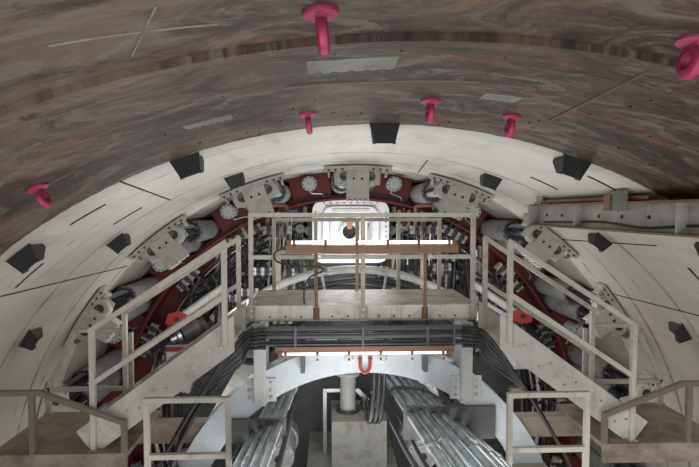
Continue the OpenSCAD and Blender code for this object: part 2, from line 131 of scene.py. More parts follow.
class Tree:
    """A short way to write a material's nodes."""

    def __init__(self, name):
        self.material = bpy.data.materials.new(name)
        self.material.use_nodes = True
        self.nodes = self.material.node_tree.nodes
        self.links = self.material.node_tree.links
        self.shader = self.nodes["Principled BSDF"]
        self.place = self.nodes.new("ShaderNodeTexCoord").outputs["Object"]

    def put(self, socket, value):
        if isinstance(value, bpy.types.NodeSocket):
            self.links.new(value, socket)
        elif isinstance(value, (tuple, list)) and len(value) == 3 and socket.type == "RGBA":
            socket.default_value = (*value, 1)
        else:
            socket.default_value = value

    def math(self, operation, a, b=0.0):
        node = self.nodes.new("ShaderNodeMath")
        node.operation = operation
        self.put(node.inputs[0], a)
        self.put(node.inputs[1], b)
        return node.outputs[0]

    def times(self, a, b):
        return self.math("MULTIPLY", a, b)

    def plus(self, a, b):
        return self.math("ADD", a, b)

    def minus(self, a, b):
        return self.math("SUBTRACT", a, b)

    def split(self, vector):
        node = self.nodes.new("ShaderNodeSeparateXYZ")
        self.put(node.inputs[0], vector)
        return node.outputs

    def join(self, x, y, z):
        node = self.nodes.new("ShaderNodeCombineXYZ")
        for socket, value in zip(node.inputs, (x, y, z)):
            self.put(socket, value)
        return node.outputs[0]

    def scaled(self, vector, scale):
        node = self.nodes.new("ShaderNodeMapping")
        self.put(node.inputs["Vector"], vector)
        node.inputs["Scale"].default_value = scale
        return node.outputs[0]

    def noise(self, scale, detail=4.0, rough=0.55, vector=None, distort=0.0):
        node = self.nodes.new("ShaderNodeTexNoise")
        node.inputs["Scale"].default_value = scale
        node.inputs["Detail"].default_value = detail
        node.inputs["Roughness"].default_value = rough
        node.inputs["Distortion"].default_value = distort
        self.put(node.inputs["Vector"], vector if vector is not None else self.place)
        return node.outputs["Fac"]

    def band(self, value, low, high):
        """0 at low, 1 at high, straight between them."""
        node = self.nodes.new("ShaderNodeMapRange")
        self.put(node.inputs["Value"], value)
        node.inputs["From Min"].default_value = low
        node.inputs["From Max"].default_value = high
        return node.outputs["Result"]

    def mix(self, share, a, b, blend="MIX"):
        node = self.nodes.new("ShaderNodeMix")
        node.data_type = "RGBA"
        node.blend_type = blend
        self.put(node.inputs[0], share)
        self.put(node.inputs[6], a)
        self.put(node.inputs[7], b)
        return node.outputs[2]

    def stain(self, body, mask, start, full, share, colour):
        """Lays a share of the colour over the body where the mask goes from start to full."""
        return self.mix(self.times(self.band(mask, start, full), share), body, colour)

    def stains(self, body, *layers):
        """Lays each stain over the body in turn."""
        for layer in layers:
            body = self.stain(body, *layer)
        return body

    def bump(self, height, strength=0.3, distance=0.01, normal=None):
        node = self.nodes.new("ShaderNodeBump")
        node.inputs["Strength"].default_value = strength
        node.inputs["Distance"].default_value = distance
        self.put(node.inputs["Height"], height)
        if normal is not None:
            self.links.new(normal, node.inputs["Normal"])
        self.links.new(node.outputs[0], self.shader.inputs["Normal"])

    def finish(self, colour, rough=0.5, metal=0.0):
        self.put(self.shader.inputs["Base Color"], colour)
        self.put(self.shader.inputs["Roughness"], rough)
        self.put(self.shader.inputs["Metallic"], metal)
        return self.material


def facing_up(tree):
    node = tree.nodes.new("ShaderNodeNewGeometry")
    return tree.split(node.outputs["Normal"])[2]


def round_edges(tree, radius=0.004):
    """A normal that rounds the sharp edges of CAD solids, and where the edges are."""
    soft = tree.nodes.new("ShaderNodeBevel")
    soft.samples = 3
    soft.inputs["Radius"].default_value = radius
    flat = tree.nodes.new("ShaderNodeNewGeometry")
    dot = tree.nodes.new("ShaderNodeVectorMath")
    dot.operation = "DOT_PRODUCT"
    tree.links.new(soft.outputs[0], dot.inputs[0])
    tree.links.new(flat.outputs["True Normal"], dot.inputs[1])
    return soft.outputs[0], tree.band(dot.outputs["Value"], 0.998, 0.96)


def shaded(colour, factor):
    return [c * factor for c in colour]


def painted(name, colour, grime=(0.16, 0.125, 0.09), chip=(0.10, 0.055, 0.03), dirt=0.4, rough=0.45,
            wear=0.5, dust=0.4, edge_radius=0.004):
    """Paint with soft grime, drips, dust on what faces up, and small chips that gather along the edges."""
    tree = Tree(name)
    cloud = tree.noise(1.3, 5.0, 0.6)
    smear = tree.noise(5.5, 8.0, 0.68, None, 0.5)
    drips = tree.noise(9.0, 4.0, 0.6, tree.scaled(tree.place, (1.6, 1.6, 0.22)))
    speck = tree.noise(120.0, 2.0, 0.6)
    body = tree.mix(tree.band(cloud, 0.38, 0.66), colour, shaded(colour, 0.84))
    body = tree.stains(body, (smear, 0.5, 0.72, dirt, grime),
                       (drips, 0.56, 0.74, dirt * 0.8, shaded(grime, 1.3)))
    lying = tree.times(tree.band(facing_up(tree), 0.4, 1.0), dust)
    body = tree.mix(tree.times(lying, tree.band(smear, 0.25, 0.6)), body, (0.30, 0.255, 0.20))
    normal, edge = round_edges(tree, edge_radius)
    worn_edge = tree.times(edge, tree.band(tree.noise(30.0, 4.0, 0.7), 0.56 - 0.12 * wear, 0.66))
    spots = tree.times(tree.band(speck, 0.70, 0.73), tree.band(cloud, 0.45, 0.62))
    worn = tree.math("MAXIMUM", worn_edge, tree.times(spots, wear))
    body = tree.mix(worn, body, chip)
    tree.bump(tree.plus(tree.times(smear, 0.5), tree.times(worn, -0.5)), 0.10, 0.003, normal)
    return tree.finish(body, tree.plus(tree.times(smear, 0.35), rough - 0.12))


def metal(name, colour, rough=0.25, dirt=0.4, rust=0.0):
    """Bare metal with fine streaks, oily dirt and a little rust."""
    tree = Tree(name)
    cloud = tree.noise(4.0, 6.0, 0.65)
    lines = tree.noise(60.0, 3.0, 0.6, tree.scaled(tree.place, (1.0, 0.08, 1.0)))
    body = tree.stain(colour, cloud, 0.45, 0.7, dirt, (0.06, 0.05, 0.045))
    if rust:
        body = tree.stain(body, tree.noise(7.0, 8.0, 0.7), 0.54, 0.64, rust, (0.17, 0.075, 0.035))
    tree.bump(lines, 0.05, 0.002)
    return tree.finish(body, tree.plus(tree.times(lines, 0.15), rough), 1.0 - rust * 0.5)


def rubber(name, colour=(0.018, 0.019, 0.021), rough=0.42):
    """Matt rubber or cloth with dust in patches."""
    tree = Tree(name)
    body = tree.stain(colour, tree.noise(6.0, 6.0, 0.65), 0.46, 0.8, 0.55, (0.13, 0.12, 0.105))
    tree.bump(tree.noise(90.0, 2.0), 0.1, 0.002)
    return tree.finish(body, rough)


def glow(name, colour, strength):
    tree = Tree(name)
    tree.shader.inputs["Emission Color"].default_value = (*colour, 1)
    tree.shader.inputs["Emission Strength"].default_value = strength
    haze = tree.noise(20.0)
    return tree.finish(tree.mix(haze, colour, shaded(colour, 0.9)), 0.3)


def unrolled(tree):
    """The shell's sheet coordinates: metres round the shell, metres from the tail's end, and the radius."""
    parts = tree.split(tree.place)
    up = tree.minus(parts[2], AXIS_Z)
    angle = tree.math("ARCTAN2", parts[0], up)
    radius = tree.math("SQRT", tree.plus(tree.times(parts[0], parts[0]), tree.times(up, up)))
    along = tree.minus(parts[1], TAIL_Y)
    return tree.times(angle, TAIL_R), along, radius


def sheet_noise(tree, around, along, scale, stretch=(1.0, 1.0), offset=0.0, detail=8.0,
                rough=0.65, distort=0.0):
    """Noise over the unrolled shell, stretched by its two factors."""
    place = tree.join(tree.times(around, stretch[0]), tree.times(along, stretch[1]), offset)
    return tree.noise(scale, detail, rough, place, distort)


def rust_colours(tree, around, along):
    """Bare plate: mill scale, brown rust, rubbed metal, orange blooms and fine scratches round the shell."""
    def sheet(*values, **more):
        return sheet_noise(tree, around, along, *values, **more)

    wide = sheet(0.85, (0.6, 1.5), 3.0, distort=0.7)
    blotch = sheet(2.6, (0.8, 1.3), 7.0, detail=10.0, rough=0.7, distort=0.5)
    grain = sheet(34.0, (1.0, 1.0), 1.0, detail=5.0, rough=0.75)
    rolled = sheet(3.2, (0.10, 3.6), 5.0, detail=6.0, rough=0.72, distort=0.25)
    lines = sheet(16.0, (0.035, 1.0), 2.0, detail=3.0, rough=0.6)
    bloom = sheet(1.9, (0.75, 1.2), 9.0, detail=10.0, rough=0.72, distort=0.9)
    scrape = sheet(7.0, (1.0, 0.22), 13.0, detail=6.0, rough=0.7, distort=0.3)
    patchy = sheet(1.4, (0.5, 1.0), 17.0, detail=9.0, rough=0.66, distort=0.6)
    swirl = sheet(5.5, (0.6, 1.0), 19.0, detail=9.0, rough=0.75, distort=1.2)

    base = tree.mix(tree.band(wide, 0.40, 0.58), (0.062, 0.045, 0.036), (0.135, 0.108, 0.088))
    base = tree.stains(
        base,
        (blotch, 0.48, 0.60, 0.75, (0.032, 0.027, 0.026)),
        (rolled, 0.50, 0.60, 0.5, (0.125, 0.12, 0.112)),
        (blotch, 0.44, 0.34, 0.55, (0.19, 0.155, 0.125)),
        (bloom, 0.56, 0.63, 0.75, (0.23, 0.105, 0.05)),
        (bloom, 0.63, 0.70, 0.6, (0.34, 0.20, 0.115)),
        (grain, 0.50, 0.66, 0.45, (0.20, 0.16, 0.13)),
        (grain, 0.47, 0.36, 0.6, (0.022, 0.018, 0.016)),
        (lines, 0.62, 0.66, 0.5, (0.25, 0.235, 0.22)),
        (lines, 0.38, 0.34, 0.6, (0.025, 0.02, 0.018)),
    )
    marks = tree.times(tree.band(scrape, 0.66, 0.70), tree.band(wide, 0.45, 0.6))
    base = tree.mix(tree.times(marks, 0.6), base, (0.30, 0.25, 0.21))
    base = tree.mix(1.0, base, (0.78, 0.60, 0.50), "MULTIPLY")
    base = tree.stains(
        base,
        (patchy, 0.50, 0.56, 0.75, (0.026, 0.018, 0.014)),
        (patchy, 0.46, 0.38, 0.5, (0.20, 0.145, 0.105)),
        (swirl, 0.53, 0.60, 0.55, (0.19, 0.165, 0.14)),
        (swirl, 0.46, 0.40, 0.8, (0.018, 0.013, 0.011)),
    )
    return base, tree.plus(blotch, tree.times(grain, 0.5)), grain


def cream_shell(tree, around, along, colour):
    """Cream paint inside the shell: runs, scuffs, rust spots, a dirt line at each weld, and painted shade
    that makes the sides darker and browner.
    """
    def sheet(*values, **more):
        return sheet_noise(tree, around, along, *values, **more)

    cloud = sheet(0.7, (1.0, 1.0), 0.0, distort=0.5)
    runs = sheet(2.2, (1.6, 0.35), 4.0, distort=0.4)
    fine = sheet(30.0, (1.0, 1.0), 6.0, detail=5.0, rough=0.75)
    scuff = sheet(5.0, (0.25, 1.6), 8.0, detail=9.0, rough=0.72, distort=0.8)
    slash = sheet(9.0, (0.16, 1.1), 21.0, detail=4.0, rough=0.6, distort=0.35)
    specks = sheet(22.0, (1.0, 1.0), 11.0, detail=4.0, rough=0.75)
    paint = tree.mix(tree.band(cloud, 0.36, 0.66), colour, shaded(colour, 0.86))
    paint = tree.stains(
        paint,
        # Painted shade: darker and browner the further round from the top
        (tree.math("ABSOLUTE", around), 0.8, 3.4, 0.62, (0.30, 0.25, 0.185)),
        (runs, 0.52, 0.72, 0.45, (0.29, 0.23, 0.165)),
        (scuff, 0.58, 0.70, 0.5, (0.20, 0.165, 0.13)),
        (slash, 0.655, 0.68, 0.65, (0.11, 0.08, 0.06)),
        (fine, 0.60, 0.72, 0.3, (0.20, 0.165, 0.13)),
    )
    spots = tree.times(tree.band(specks, 0.68, 0.71), tree.band(cloud, 0.45, 0.6))
    paint = tree.mix(spots, paint, (0.13, 0.06, 0.03))
    for weld_t in SKIN_WELDS_T:
        away = tree.math("ABSOLUTE", tree.minus(along, weld_t))
        line = tree.minus(1.0, tree.band(away, 0.006, 0.03))
        paint = tree.mix(tree.times(line, tree.band(runs, 0.3, 0.6)), paint, (0.16, 0.12, 0.085))
    return paint, fine, cloud


def tail_finish(settings):
    """Rusted plate to the paint's edge, then cream paint. A dark ragged line lies between them."""
    tree = Tree("tail_plate")
    around, along, radius = unrolled(tree)
    rust, height, grain = rust_colours(tree, around, along)
    cream = cream_shell(tree, around, along, tuple(settings.cream))[0]
    ragged = sheet_noise(tree, around, along, 9.0, (1.0, 1.0), 15.0, detail=8.0, rough=0.75)
    slow = sheet_noise(tree, around, along, 1.2, (1.0, 1.0), 16.0, detail=2.0)
    wobble = tree.plus(tree.times(tree.minus(ragged, 0.5), 0.11), tree.times(tree.minus(slow, 0.5), 0.06))
    edge = tree.plus(along, wobble)
    start = settings.paint_edge
    painted_part = tree.band(edge, start, start + 0.006)
    dark_line = tree.times(tree.band(edge, start - 0.035, start - 0.01),
                           tree.band(edge, start + 0.022, start + 0.004))
    inner = tree.math("LESS_THAN", radius, TAIL_R + 0.03)
    cream = tree.stain(cream, edge, start + 0.30, start, 0.4, (0.30, 0.25, 0.19))
    body = tree.mix(tree.times(painted_part, inner), rust, cream)
    # A dark line, in patches, just before the paint's edge
    patchy_edge_line = tree.times(dark_line, tree.band(slow, 0.32, 0.46))
    body = tree.mix(tree.times(patchy_edge_line, inner), body, (0.045, 0.028, 0.02))
    rough = tree.plus(tree.times(grain, 0.35), 0.40)
    lift = tree.times(height, tree.minus(1.0, tree.times(painted_part, 0.75)))
    tree.bump(lift, 0.5, 0.012)
    return tree.finish(body, rough, 0.0)


def rusted_plate():
    tree = Tree("rusted_plate")
    around, along, _ = unrolled(tree)
    rust, height, grain = rust_colours(tree, around, along)
    tree.bump(height, 0.3, 0.01)
    return tree.finish(rust, tree.plus(tree.times(grain, 0.3), 0.45))


def shell_paint(settings):
    """The middle skin: cream inside, scraped grey outside."""
    tree = Tree("shell_paint")
    around, along, radius = unrolled(tree)
    cream, fine, cloud = cream_shell(tree, around, along, tuple(settings.cream))
    cream = tree.mix(0.45, cream, (0.12, 0.115, 0.105))
    grey = tree.mix(tree.band(cloud, 0.38, 0.62), (0.19, 0.20, 0.205), (0.115, 0.115, 0.115))
    scraped = sheet_noise(tree, around, along, 4.0, (0.7, 0.2), 30.0, detail=8.0, rough=0.7)
    grey = tree.stains(grey, (scraped, 0.54, 0.62, 0.7, (0.15, 0.09, 0.06)),
                       (scraped, 0.64, 0.68, 0.7, (0.27, 0.25, 0.23)))
    body = tree.mix(tree.math("LESS_THAN", radius, SHIELD_R - 0.02), grey, cream)
    tree.bump(fine, 0.15, 0.006)
    return tree.finish(body, tree.plus(tree.times(fine, 0.3), 0.4))


def ram_finish():
    """One shoe node: worn white paint on the shoe, and chrome on the rods whose dark blue-black streaked
    colour is a painted reflection of the dark surroundings.
    """
    tree = Tree("shoe_and_rods")
    along = tree.minus(tree.split(tree.place)[1], TAIL_Y)
    is_rod = tree.math("GREATER_THAN", along, SHOE_T + SHOE_L + 0.001)
    smear = tree.noise(7.0, 8.0, 0.7)
    chips = tree.noise(40.0, 4.0, 0.7)
    normal, edge = round_edges(tree, 0.005)
    paint = tree.stain((0.50, 0.49, 0.44), smear, 0.48, 0.7, 0.55, (0.22, 0.19, 0.155))
    paint = tree.mix(tree.times(edge, tree.band(chips, 0.5, 0.6)), paint, (0.12, 0.08, 0.055))
    # Painted reflection: dark blue-black chrome, streaked along the rods, for the dark surroundings they
    # reflect
    streaks = tree.noise(30.0, 3.0, 0.6, tree.scaled(tree.place, (1.0, 0.05, 1.0)))
    chrome = tree.mix(tree.band(streaks, 0.4, 0.8), (0.34, 0.37, 0.42), (0.16, 0.17, 0.20))
    body = tree.mix(is_rod, paint, chrome)
    rough = tree.minus(0.5, tree.times(is_rod, 0.36))
    tree.bump(smear, 0.05, 0.002, normal)
    return tree.finish(body, rough, is_rod)


def by_height(name, low_colour, high_colour, level, **more):
    """Paint in one colour below a level, in metres above the axis, and in another above it."""
    material = painted(name, high_colour, **more)
    nodes, links = material.node_tree.nodes, material.node_tree.links
    coat = nodes["Principled BSDF"].inputs["Base Color"]
    split = nodes.new("ShaderNodeSeparateXYZ")
    test = nodes.new("ShaderNodeMath")
    test.operation = "LESS_THAN"
    test.inputs[1].default_value = AXIS_Z + level
    tint = nodes.new("ShaderNodeMix")
    tint.data_type = "RGBA"
    tint.blend_type = "MULTIPLY"
    ratio = [low / max(high, 0.01) for low, high in zip(low_colour, high_colour)]
    tint.inputs[7].default_value = (*ratio, 1)
    links.new(nodes.new("ShaderNodeTexCoord").outputs["Object"], split.inputs[0])
    links.new(split.outputs[2], test.inputs[0])
    links.new(test.outputs[0], tint.inputs[0])
    links.new(coat.links[0].from_socket, tint.inputs[6])
    links.new(tint.outputs[2], coat)
    return material


def checkered(name, colour, dirt_colour):
    """Dusty floor plate with raised lozenges, laid two ways."""
    tree = Tree(name)
    parts = tree.split(tree.place)
    u = tree.times(tree.plus(parts[0], parts[1]), LOZENGES_PER_M)
    v = tree.times(tree.minus(parts[0], parts[1]), LOZENGES_PER_M)
    squares = tree.plus(tree.math("FLOOR", u), tree.math("FLOOR", v))
    swap = tree.math("GREATER_THAN", tree.math("MODULO", squares, 2.0), 0.5)
    fu = tree.math("ABSOLUTE", tree.minus(tree.math("FRACT", u), 0.5))
    fv = tree.math("ABSOLUTE", tree.minus(tree.math("FRACT", v), 0.5))
    long_u = tree.plus(tree.times(fu, 1.0), tree.times(fv, 3.4))
    long_v = tree.plus(tree.times(fv, 1.0), tree.times(fu, 3.4))
    both = tree.plus(tree.times(long_u, swap), tree.times(long_v, tree.minus(1.0, swap)))
    lozenge = tree.band(both, 0.5, 0.38)
    smear = tree.noise(3.0, 8.0, 0.68, None, 0.4)
    fine = tree.noise(40.0, 4.0, 0.7)
    body = tree.mix(tree.band(smear, 0.42, 0.62), colour, dirt_colour)
    body = tree.mix(tree.times(lozenge, 0.35), body, (0.30, 0.27, 0.23))
    body = tree.stain(body, fine, 0.58, 0.7, 0.5, (0.10, 0.06, 0.035))
    tree.bump(tree.plus(lozenge, tree.times(fine, 0.3)), 0.5, 0.004)
    return tree.finish(body, 0.65)


def circle(centre, across, other, radius, sides, start=0.0):
    """Points round a centre, in the plane of two directions."""
    turns = [start + 2 * pi * i / sides for i in range(sides)]
    return [centre + (across * cos(turn) + other * sin(turn)) * radius for turn in turns]


def heading(path, i):
    """The direction of a path at one of its points."""
    return (path[min(i + 1, len(path) - 1)] - path[max(i - 1, 0)]).normalized()


class Maker:
    """Gathers simple solids into one mesh, in the row frame."""

    def __init__(self):
        self.bm = bmesh.new()

    def add(self, points, faces):
        verts = [self.bm.verts.new(p) for p in points]
        for face in faces:
            self.bm.faces.new([verts[i] for i in face])

    def box(self, low, high):
        points = [Vector((x, y, z)) for x in (low[0], high[0]) for y in (low[1], high[1])
                  for z in (low[2], high[2])]
        self.add(points, BOX_FACES)

    def block(self, x, half, t, z):
        """A box about a place across, between two distances from the tail's end and two heights."""
        self.box(at(x - half, t[0], z[0]), at(x + half, t[1], z[1]))

    def brick(self, centre, ways, size):
        """A box turned along three directions."""
        a, b, c = [way * (length / 2) for way, length in zip(ways, size)]
        points = [Vector(centre) + a * i + b * j + c * k for i in (-1, 1) for j in (-1, 1) for k in (-1, 1)]
        self.add(points, BOX_FACES)

    def prism(self, outline, offset):
        """A flat outline drawn out by an offset."""
        count = len(outline)
        points = [Vector(p) for p in outline] + [Vector(p) + Vector(offset) for p in outline]
        faces = [(i, (i + 1) % count, count + (i + 1) % count, count + i) for i in range(count)]
        self.add(points, faces + [tuple(reversed(range(count))), tuple(range(count, 2 * count))])

    def weave(self, rows, closed=False):
        """Faces between rows of points. The last row meets the first, or both ends are capped."""
        count, sides = len(rows), len(rows[0])
        faces = []
        for row in range(count if closed else count - 1):
            start, after = row * sides, (row + 1) % count * sides
            for i in range(sides):
                j = (i + 1) % sides
                faces.append((start + i, start + j, after + j, after + i))
        if not closed:
            last = (count - 1) * sides
            faces += [tuple(reversed(range(sides))), tuple(range(last, last + sides))]
        self.add([point for row in rows for point in row], faces)

    def lathe(self, base, axis, profile, sides=20, closed=False):
        """A round solid: the profile is pairs of distance along the axis and radius."""
        base, axis = Vector(base), Vector(axis).normalized()
        across = axis.orthogonal().normalized()
        other = axis.cross(across)
        rows = [circle(base + axis * step, across, other, radius, sides) for step, radius in profile]
        self.weave(rows, closed)

    def sector(self, middle, half, r_in, r_out, t0, t1, steps=8):
        """A piece of a round wall about the axis, half an angle to each side of its middle."""
        points = []
        for k in range(steps + 1):
            angle = middle - half + 2 * half * k / steps
            points += [polar(angle, r, t) for r, t in ((r_in, t0), (r_out, t0), (r_out, t1), (r_in, t1))]
        faces = [(0, 1, 2, 3), (4 * steps + 3, 4 * steps + 2, 4 * steps + 1, 4 * steps)]
        for k in range(steps):
            for j in range(4):
                n = (j + 1) % 4
                faces.append((4 * k + j, 4 * k + 4 + j, 4 * k + 4 + n, 4 * k + n))
        self.add(points, faces)

    def rod(self, a, b, radius, sides=16):
        a, b = Vector(a), Vector(b)
        self.lathe(a, b - a, [(0.0, radius), ((b - a).length, radius)], sides)

    def ring(self, base, axis, outer, inner, length, sides=32):
        """A flat round ring with a hole."""
        self.lathe(base, axis, [(0.0, outer), (length, outer), (length, inner), (0.0, inner)], sides, True)

    def bolt(self, base, axis, radius, height):
        """A washer and a hexagonal head."""
        self.lathe(base, axis, [(0.0, radius * 1.45), (height * 0.22, radius * 1.45)], 12)
        head = [(height * 0.2, radius), (height * 0.92, radius), (height, radius * 0.82)]
        self.lathe(base, axis, head, 6)

    def bolt_circle(self, centre, axis, pitch, count, radius, height, start=0.0):
        axis = Vector(axis).normalized()
        across = axis.orthogonal().normalized()
        other = axis.cross(across)
        for place in circle(Vector(centre), across, other, pitch, count, start):
            self.bolt(place, axis, radius, height)

    def tube(self, path, radius, sides=8):
        """A round tube along a path."""
        path = [Vector(p) for p in path]
        across = (path[1] - path[0]).orthogonal().normalized()
        rows = []
        for i, p in enumerate(path):
            ahead = heading(path, i)
            across = (across - ahead * across.dot(ahead)).normalized()
            rows.append(circle(p, across, ahead.cross(across), radius, sides))
        self.weave(rows)

    def strap(self, path, width, thick, side):
        """A flat band along a path, its width lying along side."""
        path = [Vector(p) for p in path]
        side = Vector(side)
        rows = []
        for i, p in enumerate(path):
            ahead = heading(path, i)
            wide = (side - ahead * side.dot(ahead)).normalized() * (width / 2)
            up = ahead.cross(wide).normalized() * (thick / 2)
            rows.append([p - wide - up, p + wide - up, p + wide + up, p - wide + up])
        self.weave(rows)

    def done(self, name, body, slot, material, bevel=0.0):
        bmesh.ops.recalc_face_normals(self.bm, faces=self.bm.faces)
        mesh = bpy.data.meshes.new(name)
        self.bm.to_mesh(mesh)
        self.bm.free()
        piece = bpy.data.objects.new(name, mesh)
        bpy.context.scene.collection.objects.link(piece)
        mesh.materials.append(material)
        mesh.shade_smooth()
        mesh.set_sharp_from_angle(angle=radians(38))
        if bevel:
            edge = piece.modifiers.new("edge", "BEVEL")
            edge.width = bevel
            edge.segments = 2
            edge.limit_method = "ANGLE"
        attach(piece, body)
        return piece


BOX_FACES = [(0, 1, 3, 2), (4, 6, 7, 5), (0, 4, 5, 1), (2, 3, 7, 6), (0, 2, 6, 4), (1, 5, 7, 3)]

# Finish of the small pieces: the record's slot, and how it is made
SMALL_FINISHES = {
    "rubber": ("black_steel", lambda: rubber("hose_rubber_finish")),
    "steel": ("pipe_steel", lambda: metal("small_steel", (0.46, 0.47, 0.47), 0.32, dirt=0.5)),
    "dark_steel": ("barrel_steel", lambda: metal("dark_small_steel", (0.10, 0.105, 0.115), 0.36, dirt=0.5)),
    "white": ("white_paint", lambda: painted("small_white", (0.62, 0.63, 0.61), dirt=0.35)),
    "cream": ("cream_paint", lambda: painted("small_cream", (0.50, 0.46, 0.38), dirt=0.5)),
    "brown": ("lamp_body", lambda: painted("brown_rust", (0.24, 0.115, 0.065),
                                           grime=(0.10, 0.06, 0.04), dirt=0.6)),
    "orange": ("lamp_body", lambda: painted("orange_primer", (0.42, 0.17, 0.08), dirt=0.4)),
    "red": ("red_paint", lambda: painted("bright_red", (0.42, 0.035, 0.035), dirt=0.3)),
    "blue": ("black_steel", lambda: painted("valve_blue", (0.03, 0.10, 0.26), dirt=0.4)),
    "black": ("black_steel", lambda: painted("small_black", (0.02, 0.02, 0.022), dirt=0.4)),
    "brass": ("tool_steel", lambda: metal("brass", (0.50, 0.34, 0.13), 0.3, dirt=0.4)),
    "webbing": ("black_steel", lambda: rubber("webbing_finish", (0.022, 0.024, 0.032), 0.8)),
    "bead": ("cream_paint", lambda: painted("weld_bead", (0.42, 0.39, 0.32), dirt=0.6)),
    "rust_bead": ("rusted_steel", lambda: painted("rust_bead", (0.12, 0.09, 0.07), dirt=0.6)),
    "chalk": ("cream_paint", lambda: painted("chalk_line", (0.30, 0.28, 0.25), dirt=0.7)),
    # Near-black: dark seam lines, and painted shade in holes, slots, pits and the door's sight ring
    "gap": ("black_steel", lambda: rubber("dark_seams_and_painted_shade", (0.012, 0.010, 0.009), 0.9)),
    "pale": ("cream_paint", lambda: painted("pale_patch", (0.17, 0.18, 0.155),
                                            grime=(0.07, 0.06, 0.05), dirt=0.8)),
}
MATERIALS = {}


def small(finish):
    if finish not in MATERIALS:
        MATERIALS[finish] = SMALL_FINISHES[finish][1]()
    return MATERIALS[finish]


class Group:
    """The small pieces of one place, one mesh for each finish."""

    def __init__(self, name, body="shield"):
        self.name = name
        self.body = body
        self.makers = {}

    def __getitem__(self, finish):
        return self.makers.setdefault(finish, Maker())

    def several(self, *finishes):
        return [self[finish] for finish in finishes]

    def done(self, bevel=0.0):
        for finish, maker in self.makers.items():
            slot = SMALL_FINISHES[finish][0]
            maker.done(f"{self.name}_{finish}", self.body, slot, small(finish), bevel)


def curve(points, steps=6):
    """A smooth path through the points."""
    pts = [Vector(p) for p in points]
    path = []
    for i in range(len(pts) - 1):
        a, b, c, d = pts[max(i - 1, 0)], pts[i], pts[i + 1], pts[min(i + 2, len(pts) - 1)]
        for k in range(steps):
            f = k / steps
            path.append(0.5 * (2 * b + (c - a) * f + (2 * a - 5 * b + 4 * c - d) * f * f
                               + (3 * b - a - 3 * c + d) * f ** 3))
    path.append(pts[-1])
    return path


def rise(radius, across):
    """Height above the axis of a circle round it, at a distance across."""
    return sqrt(radius ** 2 - across * across)


def sagging(a, b, sag, steps=8, away=None):
    """A hose's path between two points, hanging by sag in the middle."""
    a, b = Vector(a), Vector(b)
    middle = (a + b) / 2 - Vector((0, 0, sag)) + (Vector(away) if away is not None else Vector())
    low = Vector((0, 0, sag * 0.18))
    path = [a, a.lerp(middle, 0.55) - low, middle, b.lerp(middle, 0.55) - low, b]
    return curve(path, max(2, steps // 2))


def arc(radius, t, start, end, steps=16):
    """A path round the axis, from one angle to another."""
    return [polar(start + (end - start) * i / steps, radius, t) for i in range(steps + 1)]


def ways_at(angle):
    """Round the shell, along it, and away from the axis, at an angle right of the top."""
    out = Vector((sin(angle), 0, cos(angle)))
    return Vector((cos(angle), 0, -sin(angle))), AHEAD, out


def give(node, material):
    """Sets a CAD node's finish."""
    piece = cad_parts[node]
    piece.data.materials.clear()
    piece.data.materials.append(material)


class ShieldSettings(bpy.types.PropertyGroup):
    """Sizes and colours that a user would change."""

    paint_edge: FloatProperty(
        name="Paint edge", description="Where the cream paint starts, from the tail's end",
        default=2.285, unit="LENGTH")
    cream: FloatVectorProperty(
        name="Cream", description="Colour of the cream paint", default=CREAM, size=3, subtype="COLOR")
    white: FloatVectorProperty(
        name="White", description="Colour of the white paint", default=WHITE, size=3, subtype="COLOR")
    inner_light: FloatProperty(
        name="Inner light", description="Power of the lights inside the shield", default=34.0, unit="POWER")
    seed: IntProperty(name="Seed", description="Start of the random draws", default=7)


